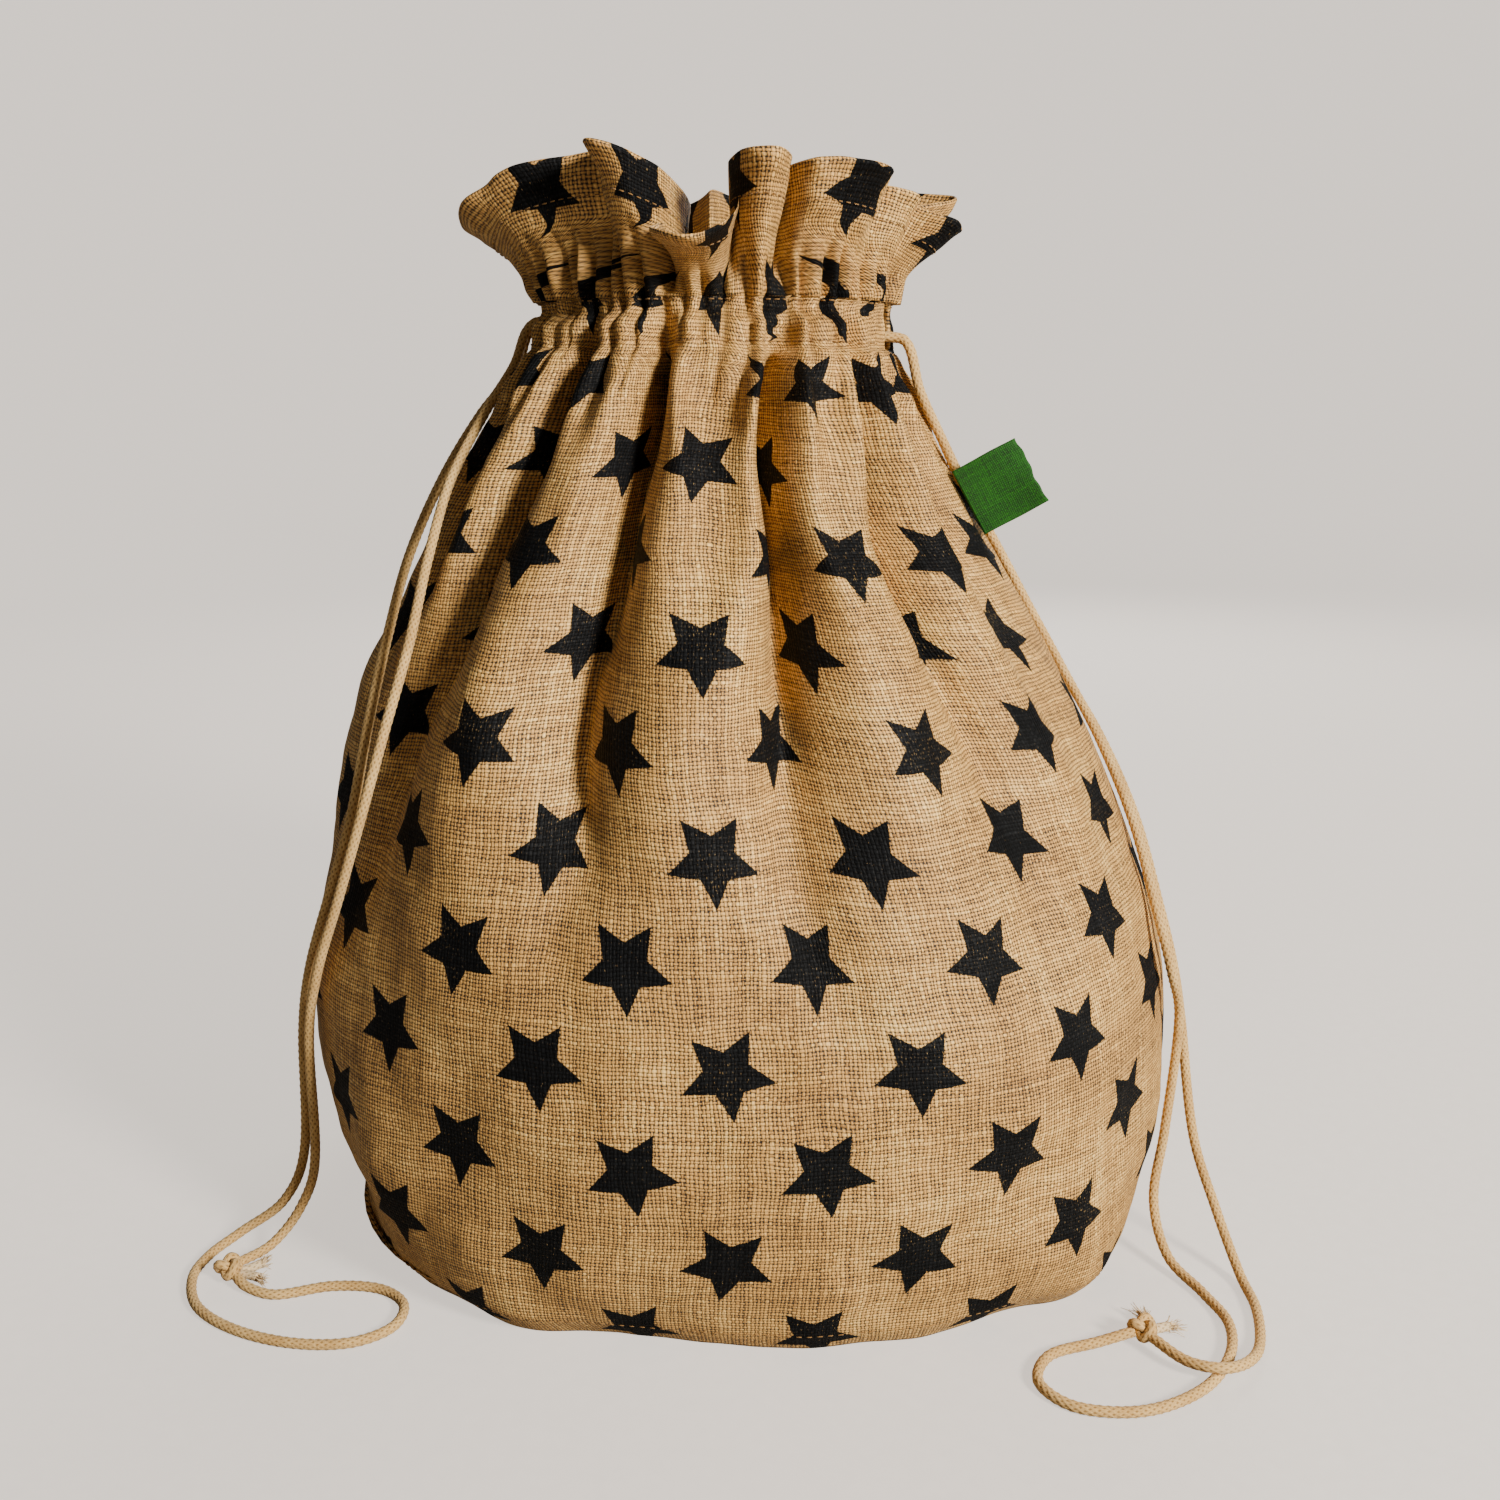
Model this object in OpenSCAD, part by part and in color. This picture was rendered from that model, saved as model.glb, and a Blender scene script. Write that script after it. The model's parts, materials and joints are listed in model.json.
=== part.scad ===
// Standing drawstring gift sack: a full, pear-shaped jute body with a gathered neck, a flared
// collar, two drawcords that leave the neck at the side seams, and a folded tape label.
// Millimetres, +Z up, origin on the ground under the middle of the foot, front towards -Y.

/* [Sack] */
// Widest width of the full sack
belly_w = 374; // [340:2:400]
// Height of the collar's top edge
sack_h = 443; // [400:1:470]
// Thickness of the printed jute cloth
cloth_t = 2; // [1.4:0.1:2.4]
// Turn of the two side seams about the upright axis
seam_turn = 10; // [6:1:14]
// Depth of the seam allowances inside the sack
allowance_w = 9; // [6:1:10]

/* [Neck and collar] */
// Height of the cord tunnel's lower edge
neck_z = 374; // [370:1:376]
// Height of the cord tunnel
casing_h = 20; // [18:1:20]
// Depth of the cord tunnel's hollow across the cloth
tunnel_gap = 7; // [6:0.5:8]
// Half of the open gap in the tunnel where a cord leaves, in degrees of turn
exit_gap = 12; // [11:1:14]
// Number of flutes round the collar
flutes = 9; // [7:1:11]
// How far the collar's flutes stand in and out at its top edge
flute_depth = 7; // [4:1:8]

/* [Drawcords] */
// Diameter of the braided cord
cord_d = 4; // [3.6:0.1:4.4]
// How far a cord pulls out of the tunnel
cord_travel = 30; // [20:1:32]
// Diameter of the knot that joins a cord's two ends
knot_d = 13; // [11:1:14]

/* [Label] */
// Width of the folded tape, along the seam
label_w = 30; // [26:1:32]
// How far the label stands out of the seam
label_l = 32; // [28:1:34]
// Thickness of one layer of the tape
tape_t = 0.8; // [0.6:0.1:1]

/* [Stitching] */
// Diameter of the sewing thread rows
thread_d = 1; // [0.8:0.1:1.2]

/* [Hidden] */

gap = 0.3;
$fn = 48;

// The sack's outer form, from the ground up. Each row has the height, the half width, the half
// depth, the sideways lean and the squareness of the cross section: 2 is an oval, more is squarer.
form = [
    [0, 165, 146, 0, 2.6],
    [12, 174, 156, -1, 2.6],
    [40, 183, 166, 0, 2.5],
    [85, 187, 172, 0, 2.4],
    [130, 184, 171, -2, 2.3],
    [180, 171, 162, -6, 2.2],
    [225, 155, 146, -11, 2.2],
    [270, 134, 124, -14, 2.1],
    [310, 112, 98, -17, 2],
    [350, 89, 70, -15, 2],
    [374, 72, 50, -11, 2]
];
form_w = 187;
scale_w = belly_w / (2 * form_w);

// The collar's outer form above the tunnel, in the same columns
collar_z = neck_z + casing_h + 0.6;
collar_form = [
    [0, 70, 48, -11, 2],
    [0.3, 78, 57, -11, 2],
    [0.65, 91, 68, -11, 2],
    [1, 93, 72, -11, 2]
];

// Cubic through a table's rows, which is even at each row: column c at height z
function segment(table, z, i = 1) =
    i >= len(table) - 1 || table[i][0] >= z ? i : segment(table, z, i + 1);
function slope(table, i, c) =
    let (a = max(i - 1, 0), b = min(i + 1, len(table) - 1))
    (table[b][c] - table[a][c]) / (table[b][0] - table[a][0]);
function smooth(table, z, c) =
    let (
        i = segment(table, z),
        a = table[i - 1],
        b = table[i],
        h = b[0] - a[0],
        u = (z - a[0]) / h
    )
    (2 * pow(u, 3) - 3 * pow(u, 2) + 1) * a[c]
    + (pow(u, 3) - 2 * pow(u, 2) + u) * h * slope(table, i - 1, c)
    + (3 * pow(u, 2) - 2 * pow(u, 3)) * b[c]
    + (pow(u, 3) - pow(u, 2)) * h * slope(table, i, c);

// A point of an oval or squarish section, at a turn counted from +X towards +Y
function side(turn, w, d, lean, square) =
    let (c = cos(turn), s = sin(turn), e = 2 / square)
    [lean + sign(c) * w * pow(abs(c), e), sign(s) * d * pow(abs(s), e)];

// A point of the sack, out millimetres outside its form
function on_sack(turn, z, out = 0) =
    let (
        p = side(
            turn,
            smooth(form, z, 1) + out,
            smooth(form, z, 2) + out,
            smooth(form, z, 3),
            smooth(form, z, 4)
        )
    )
    [p[0] * scale_w, p[1] * scale_w, z];

// A point of the upright band round the neck that the cord tunnel fills
function on_neck(turn, z, out = 0) =
    let (p = on_sack(turn, neck_z, out))
    [p[0], p[1], z];

// How much higher the collar's lower edge is for each millimetre in front of or behind the middle,
// which leaves the collar room to tilt
tilt_room = 0.2;

// A point of the collar: rise goes from 0 at the tunnel to 1 at the top edge.
function on_collar(turn, rise, out = 0) =
    let (
        wave = flute_depth * rise * cos(flutes * turn),
        p = side(
            turn,
            smooth(collar_form, rise, 1) + out + wave,
            smooth(collar_form, rise, 2) + out + wave,
            smooth(collar_form, rise, 3),
            smooth(collar_form, rise, 4)
        ),
        low = collar_z + tilt_room * abs(p[1])
    )
    [p[0] * scale_w, p[1] * scale_w, low + rise * (sack_h - low)];

// Faces that join the closed loops into one skin. With ring = true the last loop joins the first,
// and otherwise both ends are closed by strips between opposite points.
function strip(a, b, c, d) = [[a, b, c], [a, c, d]];
function cap(start, n, flip) = [
    for (k = [0:n / 2 - 2])
        let (q = [start + k, start + k + 1, start + n - 2 - k, start + n - 1 - k])
        each (flip ? strip(q[3], q[2], q[1], q[0]) : strip(q[0], q[1], q[2], q[3]))
];
module skin(loops, ring = false) {
    n = len(loops[0]);
    m = len(loops);
    walls = [
        for (i = [0:m - (ring ? 1 : 2)], k = [0:n - 1])
            let (j = (i + 1) % m, l = (k + 1) % n)
            each strip(i * n + k, j * n + k, j * n + l, i * n + l)
    ];
    ends = ring ? [] : concat(cap(0, n, false), cap((m - 1) * n, n, true));
    polyhedron([for (loop = loops) each loop], concat(walls, ends), convexity = 10);
}

// A round bar along a path, with its sides carried along without twisting
function unit(v) = v / norm(v);
function heading(path, i) = unit(path[min(i + 1, len(path) - 1)] - path[max(i - 1, 0)]);
function carried(path, side_way, i = 0) =
    let (t = heading(path, i), s = unit(side_way - (side_way * t) * t))
    i == len(path) - 1 ? [s] : concat([s], carried(path, s, i + 1));
function round_section(at, s, u, d, sides) =
    [for (k = [0:sides - 1]) at - d / 2 * (cos(k * 360 / sides) * s + sin(k * 360 / sides) * u)];
module bar(path, d, sides = 8, side_way = [0.2, 1, 0.3]) {
    ways = carried(path, side_way);
    skin([
        for (i = [0:len(path) - 1])
            let (s = ways[i], t = heading(path, i), u = cross(t, s))
            round_section(path[i], s, u, d, sides)
    ]);
}
module ring_bar(path, d, sides = 6) {
    m = len(path);
    skin([
        for (i = [0:m - 1])
            let (t = unit(path[(i + 1) % m] - path[(i + m - 1) % m]), s = [0, 0, 1], u = cross(t, s))
            round_section(path[i], s, u, d, sides)
    ], ring = true);
}

// Turns from a to b in even steps
function turns(a, b, n) = [for (i = [0:n]) a + (b - a) * i / n];

// ---- panels ----
panel_levels = [
    0, 6, 14, 26, 42, 62, 85, 108, 132, 156, 180,
    203, 225, 248, 270, 291, 310, 330, 350, 363, neck_z - gap
];
panel_steps = 36;
left_turn = 180 - seam_turn;
right_turn = -seam_turn;
// Half the slit between the two panels at a side seam, in degrees of turn
slit = 0.15;

module panel(from, to) {
    skin([
        for (t = turns(to - slit, from + slit, panel_steps))
            concat(
                [for (z = panel_levels) on_sack(t, z)],
                [for (i = [len(panel_levels) - 1:-1:0]) on_sack(t, panel_levels[i], -cloth_t)]
            )
    ]);
}
module front_panel() color("tan") panel(left_turn, right_turn + 360);
module back_panel() color("tan") panel(right_turn, left_turn);

foot_steps = 64;
module foot_outline(inset) {
    polygon([
        for (t = turns(0, 360 - 360 / foot_steps, foot_steps - 1))
            let (p = on_sack(t, 0, -inset))
            [p[0], p[1]]
    ]);
}
module base_panel() color("tan") linear_extrude(cloth_t) foot_outline(cloth_t + gap);

// ---- seam allowances, turned inside the sack ----
allowance_levels = [for (z = panel_levels) if (z > 20 && z < 340) z];
module seam_allowance(turn) {
    depth = cloth_t + gap;
    way = [-cos(turn), -sin(turn), 0];
    across = [-sin(turn), cos(turn), 0];
    skin([
        for (z = allowance_levels)
            let (p = on_sack(turn, z, -depth))
            [
                for (q = [[0.4, -1], [0.4, 1], [allowance_w, 1], [allowance_w, -1]])
                    p + q[0] * way + q[1] * cloth_t * across
            ]
    ]);
}
module left_seam_allowance() color("peru") seam_allowance(left_turn);
module right_seam_allowance() color("peru") seam_allowance(right_turn);

base_allowance_h = 10;
module base_seam_allowance() color("peru") {
    outer = cloth_t + 2 * gap;
    levels = [outer, outer + base_allowance_h];
    skin([
        for (t = turns(360 - 360 / foot_steps, 0, foot_steps - 1))
            [
                on_sack(t, levels[0], -outer),
                on_sack(t, levels[1], -outer),
                on_sack(t, levels[1], -outer - cloth_t),
                on_sack(t, levels[0], -outer - cloth_t)
            ]
    ], ring = true);
}

// Overlock thread that wraps the allowance's free edge
module seam_overlock(turn) {
    way = [-cos(turn), -sin(turn), 0];
    bar([
        for (z = allowance_levels)
            on_sack(turn, z, -cloth_t - gap) + (allowance_w + gap + thread_d) * way
    ], 2 * thread_d, 6);
}
module left_seam_overlock() color("wheat") seam_overlock(left_turn);
module right_seam_overlock() color("wheat") seam_overlock(right_turn);

// ---- cord tunnel: a folded strip sewn along its upper and lower edges ----
casing_steps = 24;
module casing(from, to) {
    wall = cloth_t;
    z0 = neck_z;
    z1 = neck_z + casing_h;
    depth = 2 * wall + tunnel_gap;
    // The strip's outer face and then its inner face, so that the section is a C with its slit
    // at the lower inner corner
    outer = [[0, z0], [0, z1], [depth, z1], [depth, z0]];
    inner = [[wall, z0], [wall, z1 - wall], [depth - wall, z1 - wall], [depth - wall, z0]];
    skin([
        for (t = turns(to - exit_gap, from + exit_gap, casing_steps))
            concat(
                [for (p = outer) on_neck(t, p[1], -p[0])],
                [for (i = [3:-1:0]) on_neck(t, inner[i][1], -inner[i][0])]
            )
    ]);
}
module front_casing() color("tan") casing(left_turn, right_turn + 360);
module back_casing() color("tan") casing(right_turn, left_turn);

// ---- collar: the cloth above the tunnel, folded over at its top edge ----
collar_steps = 54;
collar_rises = [0, 0.2, 0.4, 0.6, 0.8, 1];
collar_t = 3;
module collar(from, to) {
    skin([
        for (t = turns(to - slit, from + slit, collar_steps))
            concat(
                [for (r = collar_rises) on_collar(t, r)],
                [for (i = [len(collar_rises) - 1:-1:0]) on_collar(t, collar_rises[i], -collar_t)]
            )
    ]);
}
module front_collar() color("tan") collar(left_turn, right_turn + 360);
module back_collar() color("tan") collar(right_turn, left_turn);

// ---- stitching ----
module sack_row(z, steps = 48) {
    ring_bar([
        for (t = turns(0, 360 - 360 / steps, steps - 1))
            on_sack(t, z, thread_d / 2 + gap / 2)
    ], thread_d);
}
module casing_row(z) {
    for (half = [[left_turn, right_turn + 360], [right_turn, left_turn]])
        bar([
            for (t = turns(half[0] + exit_gap, half[1] - exit_gap, casing_steps))
                on_neck(t, z, thread_d / 2 + gap / 2)
        ], thread_d, 6, [0, 0, 1]);
}
module base_stitching() color("wheat") sack_row(8);
module casing_lower_stitching() color("wheat") casing_row(neck_z + 2);
module casing_upper_stitching() color("wheat") casing_row(neck_z + casing_h - 2);
hem_rise = 0.8;
hem_steps = 96;
module collar_hem_stitching() color("wheat") {
    ring_bar([
        for (t = turns(0, 360 - 360 / hem_steps, hem_steps - 1))
            on_collar(t, hem_rise, thread_d / 2 + gap)
    ], thread_d, 4);
}

// ---- drawcords ----
// Each cord runs right round inside the tunnel and leaves it twice at its own side seam, and its
// two ends are knotted together. The runs lie one above the other in the tunnel.
left_run_z = neck_z + 13;
right_run_z = neck_z + 5.5;
run_steps = 34;
run_gap = 9;
module cord_run(turn, z) {
    bar([
        for (t = turns(turn + run_gap, turn + 360 - run_gap, run_steps))
            on_neck(t, z, -cloth_t - tunnel_gap / 2)
    ], cord_d, 8, [0, 0, 1]);
}
module left_cord_run() color("palegoldenrod") cord_run(left_turn, left_run_z);
module right_cord_run() color("palegoldenrod") cord_run(right_turn, right_run_z);

// Routes of the free strands, from inside the tunnel to the knot
left_short_route = [
    [cord_travel - 75, 5, 387], [-84, 5, 387], [-92, 4, 383], [-97, -4, 368], [-107, -20, 349],
    [-119, -39, 322], [-125, -62, 292], [-129, -84, 262], [-137, -100, 229], [-147, -105, 195],
    [-158, -102, 163], [-170, -96, 130], [-177, -89, 100], [-179, -86, 44], [-187, -84, 21],
    [-199, -88, 6], [-209, -102, 5.5]
];
left_long_route = [
    [cord_travel - 75, 11, 387], [-84, 11, 387], [-92, 11, 383], [-98, 8, 367], [-112, -3, 348],
    [-126, -20, 322], [-137, -40, 292], [-142, -64, 262], [-146, -88, 229], [-152, -98, 195],
    [-163, -96, 163], [-175, -88, 130], [-182, -80, 100], [-186, -77, 44], [-197, -75, 19],
    [-216, -77, 5], [-225, -90, 2], [-226, -107, 2], [-217, -127, 2], [-198, -142, 2],
    [-173, -151, 2], [-150, -151, 2], [-136, -141, 2], [-135, -126, 2], [-147, -115, 2],
    [-167, -113, 2], [-188, -119, 2], [-201, -115, 3], [-208, -109, 5]
];
right_long_route = [
    [55 - cord_travel, -11, 379.5], [62, -11, 379.5], [69, -12, 376], [74, -14, 358], [83, -12, 340],
    [98, 0, 314], [113, 8, 290], [128, 10, 264], [143, 4, 237], [156, -20, 209],
    [164, -52, 181], [170, -73, 150], [177, -76, 124], [184, -68, 99], [181, -68, 48],
    [175, -79, 22], [177, -97, 6], [186, -118, 2], [190, -138, 2], [184, -159, 2],
    [168, -179, 2], [144, -191, 2], [120, -189, 2], [109, -175, 2], [116, -159, 2],
    [136, -152, 3], [150, -149, 5.5]
];
right_short_route = [
    [55 - cord_travel, -5, 379.5], [62, -5, 379.5], [70, -5, 376], [75, -6, 358], [84, -3, 340],
    [98, 9, 314], [112, 17, 290], [127, 19, 264], [143, 13, 237], [158, -11, 209],
    [167, -43, 181], [173, -65, 150], [180, -67, 124], [187, -60, 97], [193, -69, 47],
    [199, -87, 22], [204, -107, 4], [204, -128, 2], [198, -151, 2], [189, -166, 4.5],
    [177, -173, 6.5], [165, -167, 5.5], [155, -152, 6]
];
left_knot_at = [-211, -106, 6.5];
right_knot_at = [154, -148, 6.5];

module left_strand_long() color("palegoldenrod") bar(left_long_route, cord_d);
module left_strand_short() color("palegoldenrod") bar(left_short_route, cord_d);
module right_strand_long() color("palegoldenrod") bar(right_long_route, cord_d);
module right_strand_short() color("palegoldenrod") bar(right_short_route, cord_d);

// An overhand knot: a tight ring of cord round a hard core
module knot(at, heading_turn) {
    translate(at) rotate([0, 0, heading_turn]) {
        sphere(d = knot_d - 2);
        rotate([0, 90, 0]) rotate_extrude()
            translate([(knot_d - cord_d) / 2, 0]) circle(d = cord_d);
    }
}
// The two frayed ends that stand out of a knot
tail_l = 13;
tail_d = 5.5;
module knot_tails(at, heading_turn) {
    for (spread = [-15, 15])
        translate([at[0], at[1], 3.4]) rotate([0, 90, heading_turn + spread])
            translate([0, 0, knot_d / 2 - 2]) cylinder(h = tail_l, d1 = cord_d, d2 = tail_d, $fn = 12);
}
left_tails_turn = 12;
right_tails_turn = 50;
module left_knot() color("palegoldenrod") knot(left_knot_at, 35);
module right_knot() color("palegoldenrod") knot(right_knot_at, 10);
module left_knot_tails() color("cornsilk") knot_tails(left_knot_at, left_tails_turn);
module right_knot_tails() color("cornsilk") knot_tails(right_knot_at, right_tails_turn);

// ---- label: a tape folded double, with its two cut ends in the right side seam ----
label_z = 310;
label_lean = 29;
// Hollow between the tape's two layers at the fold, and how far the label starts outside the seam
tape_fold = 0.6;
label_root = 2.6;
module hairpin(width, from, to) {
    translate([from, -width / 2]) square([to - from, width]);
    translate([to, 0]) circle(d = width);
}
module label() color("forestgreen") {
    outer_w = 2 * tape_t + tape_fold;
    fold_at = label_l - outer_w / 2;
    translate(on_sack(right_turn, label_z)) rotate([0, -label_lean, right_turn])
        translate([0, 0, -label_w / 2]) linear_extrude(label_w)
            difference() {
                hairpin(outer_w, label_root, fold_at);
                hairpin(tape_fold, label_root - 1, fold_at);
            }
}

front_panel();
back_panel();
base_panel();
left_seam_allowance();
right_seam_allowance();
base_seam_allowance();
left_seam_overlock();
right_seam_overlock();
front_casing();
back_casing();
front_collar();
back_collar();
base_stitching();
casing_lower_stitching();
casing_upper_stitching();
collar_hem_stitching();
left_cord_run();
right_cord_run();
left_strand_long();
left_strand_short();
left_knot();
left_knot_tails();
right_strand_long();
right_strand_short();
right_knot();
right_knot_tails();
label();
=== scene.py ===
import json
import math

import bpy
import mathutils
import numpy as np
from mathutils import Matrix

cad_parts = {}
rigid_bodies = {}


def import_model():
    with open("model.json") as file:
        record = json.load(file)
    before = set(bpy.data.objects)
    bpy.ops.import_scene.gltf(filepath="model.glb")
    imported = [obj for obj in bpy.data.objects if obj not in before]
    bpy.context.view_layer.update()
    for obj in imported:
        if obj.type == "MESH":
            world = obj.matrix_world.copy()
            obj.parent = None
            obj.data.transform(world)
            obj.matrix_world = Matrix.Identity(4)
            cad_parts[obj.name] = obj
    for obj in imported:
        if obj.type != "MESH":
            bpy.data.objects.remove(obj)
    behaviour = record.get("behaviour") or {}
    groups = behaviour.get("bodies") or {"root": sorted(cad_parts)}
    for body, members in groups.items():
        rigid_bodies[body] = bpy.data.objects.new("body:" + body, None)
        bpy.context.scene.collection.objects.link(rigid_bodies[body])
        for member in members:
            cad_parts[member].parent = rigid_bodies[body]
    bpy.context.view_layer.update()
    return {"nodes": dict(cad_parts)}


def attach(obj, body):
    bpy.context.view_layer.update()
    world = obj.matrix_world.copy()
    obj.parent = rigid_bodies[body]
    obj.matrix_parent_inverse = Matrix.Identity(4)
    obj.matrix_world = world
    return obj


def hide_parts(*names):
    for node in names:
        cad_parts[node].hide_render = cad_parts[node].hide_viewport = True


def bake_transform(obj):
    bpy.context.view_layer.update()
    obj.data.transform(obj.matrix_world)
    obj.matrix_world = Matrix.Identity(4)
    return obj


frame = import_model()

bpy.ops.object.select_all(action="DESELECT")
MM = 0.001
draw = np.random.RandomState(7)


# ---- camera ----
def make_camera():
    eye = bpy.data.cameras.new("camera")
    eye.lens, eye.sensor_width = 36, 36
    holder = bpy.data.objects.new("camera", eye)
    holder.location = (0.003, -0.66, 0.35)
    holder.rotation_euler = (math.radians(77.2), 0, 0)
    bpy.context.collection.objects.link(holder)
    bpy.context.scene.camera = holder


make_camera()


# ---- meshes from points ----
def new_piece(name, points, faces, uvs=None, smooth=True):
    """A mesh object at the origin, from points in millimetres and their uvs in metres."""
    mesh = bpy.data.meshes.new(name)
    mesh.from_pydata((np.asarray(points, float) * MM).tolist(), [], faces)
    if uvs is not None:
        layer = mesh.uv_layers.new(name="cut")
        corners = np.empty(len(mesh.loops), int)
        mesh.loops.foreach_get("vertex_index", corners)
        layer.data.foreach_set("uv", np.asarray(uvs, float)[corners].ravel())
    mesh.polygons.foreach_set("use_smooth", [smooth] * len(mesh.polygons))
    mesh.update()
    piece = bpy.data.objects.new(name, mesh)
    bpy.context.collection.objects.link(piece)
    return piece


def grid_faces(rows, columns, start=0, across=False, along=False, flip=False):
    """Quads of a grid. across joins the last column to the first, and along does so for rows."""
    i, j = np.meshgrid(
        np.arange(rows if along else rows - 1),
        np.arange(columns if across else columns - 1),
        indexing="ij",
    )
    i2, j2 = (i + 1) % rows, (j + 1) % columns
    quad = np.stack(
        [i * columns + j, i * columns + j2, i2 * columns + j2, i2 * columns + j], -1
    ).reshape(-1, 4)
    return (start + (quad[:, ::-1] if flip else quad)).tolist()


class Build:
    """Several grids gathered in one mesh."""

    def __init__(self):
        self.points, self.uvs, self.faces, self.count = [], [], [], 0

    def grid(self, points, uvs, across=False, along=False, flip=False):
        rows, columns = points.shape[:2]
        self.faces += grid_faces(rows, columns, self.count, across, along, flip)
        start = self.count
        self.points.append(points.reshape(-1, 3))
        self.uvs.append(uvs.reshape(-1, 2))
        self.count += rows * columns
        return start

    def wall(self, outer, inner, uvs):
        """A closed wall of cloth from its outer face and its inner face, which are grids alike."""
        loop = np.concatenate([outer, inner[::-1]], 0)
        self.closed_loop(loop, np.concatenate([uvs, uvs[::-1]], 0))

    def closed_loop(self, loop, uvs):
        """A wall from rows that run up one face and down the other, with both ends closed."""
        start = self.grid(loop, uvs, along=True)
        rows, columns = loop.shape[:2]
        for i in range(rows // 2 - 1):
            for j, turned in ((0, False), (columns - 1, True)):
                quad = [start + r * columns + j for r in (i, i + 1, rows - 2 - i, rows - 1 - i)]
                self.faces.append(quad[::-1] if turned else quad)

    def piece(self, name):
        return new_piece(
            name, np.concatenate(self.points), self.faces, np.concatenate(self.uvs)
        )


# ---- the sack's form, as the frame has it: millimetres, turns in degrees from +X towards +Y ----
# height, half width, half depth, lean, squareness
FORM = np.array(
    [
        [0, 165, 146, 0, 2.6], [12, 174, 156, -1, 2.6], [40, 183, 166, 0, 2.5],
        [85, 187, 172, 0, 2.4], [130, 184, 171, -2, 2.3], [180, 171, 162, -6, 2.2],
        [225, 155, 146, -11, 2.2], [270, 134, 124, -14, 2.1], [310, 112, 98, -17, 2],
        [350, 89, 70, -15, 2], [374, 72, 50, -11, 2],
    ],
    float,
)
NECK_Z, TUNNEL_TOP = 374.0, 394.0
# The tunnel's cord runs leave the cloth this much room to sink inwards
TUNNEL_SINK = 1.6
LABEL_Z = 310.0
# rise, half width, half depth, lean, squareness
COLLAR = np.array(
    [[0, 72, 50, -11, 2], [0.3, 74, 54, -11, 2], [0.65, 80, 61, -11, 2], [1, 86, 67, -11, 2]],
    float,
)
LEFT_SEAM, RIGHT_SEAM = 170.0, 350.0
CUT_W = 580.0


def even(table, at, column):
    """Cubic through a table's rows, even at each row."""
    z, v = table[:, 0], table[:, column]
    slope = np.empty(len(z))
    slope[0], slope[-1] = (v[1] - v[0]) / (z[1] - z[0]), (v[-1] - v[-2]) / (z[-1] - z[-2])
    slope[1:-1] = (v[2:] - v[:-2]) / (z[2:] - z[:-2])
    at = np.clip(np.asarray(at, float), z[0], z[-1])
    i = np.clip(np.searchsorted(z, at), 1, len(z) - 1)
    h = z[i] - z[i - 1]
    u = (at - z[i - 1]) / h
    return (
        (2 * u**3 - 3 * u**2 + 1) * v[i - 1]
        + (u**3 - 2 * u**2 + u) * h * slope[i - 1]
        + (3 * u**2 - 2 * u**3) * v[i]
        + (u**3 - u**2) * h * slope[i]
    )


def section(turn, half_w, half_d, lean, square):
    c, s = np.cos(np.radians(turn)), np.sin(np.radians(turn))
    return (
        lean + np.sign(c) * half_w * np.abs(c) ** (2 / square),
        np.sign(s) * half_d * np.abs(s) ** (2 / square),
    )


def on_sack(turn, z, out=0.0):
    at = np.minimum(z, NECK_Z)
    x, y = section(
        turn,
        even(FORM, at, 1) + out,
        even(FORM, at, 2) + out,
        even(FORM, at, 3),
        even(FORM, at, 4),
    )
    return np.stack([x, y, z + 0 * x], -1)


def ease(low, high, x):
    u = np.clip((x - low) / (high - low), 0, 1)
    return u * u * (3 - 2 * u)


def apart(a, b):
    """The turn from b to a, between -180 and 180."""
    return (a - b + 180) % 360 - 180


def ripple(points, wavelength, waves, seed):
    """A smooth random height, about 1 high, over points in millimetres."""
    dice = np.random.RandomState(seed)
    height = 0
    for _ in range(waves):
        way = dice.normal(size=3)
        way *= 2 * math.pi / wavelength / np.linalg.norm(way) * dice.uniform(0.7, 1.4)
        height = height + np.cos(points @ way + dice.uniform(0, 6.28))
    return height / math.sqrt(waves / 2)


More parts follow.
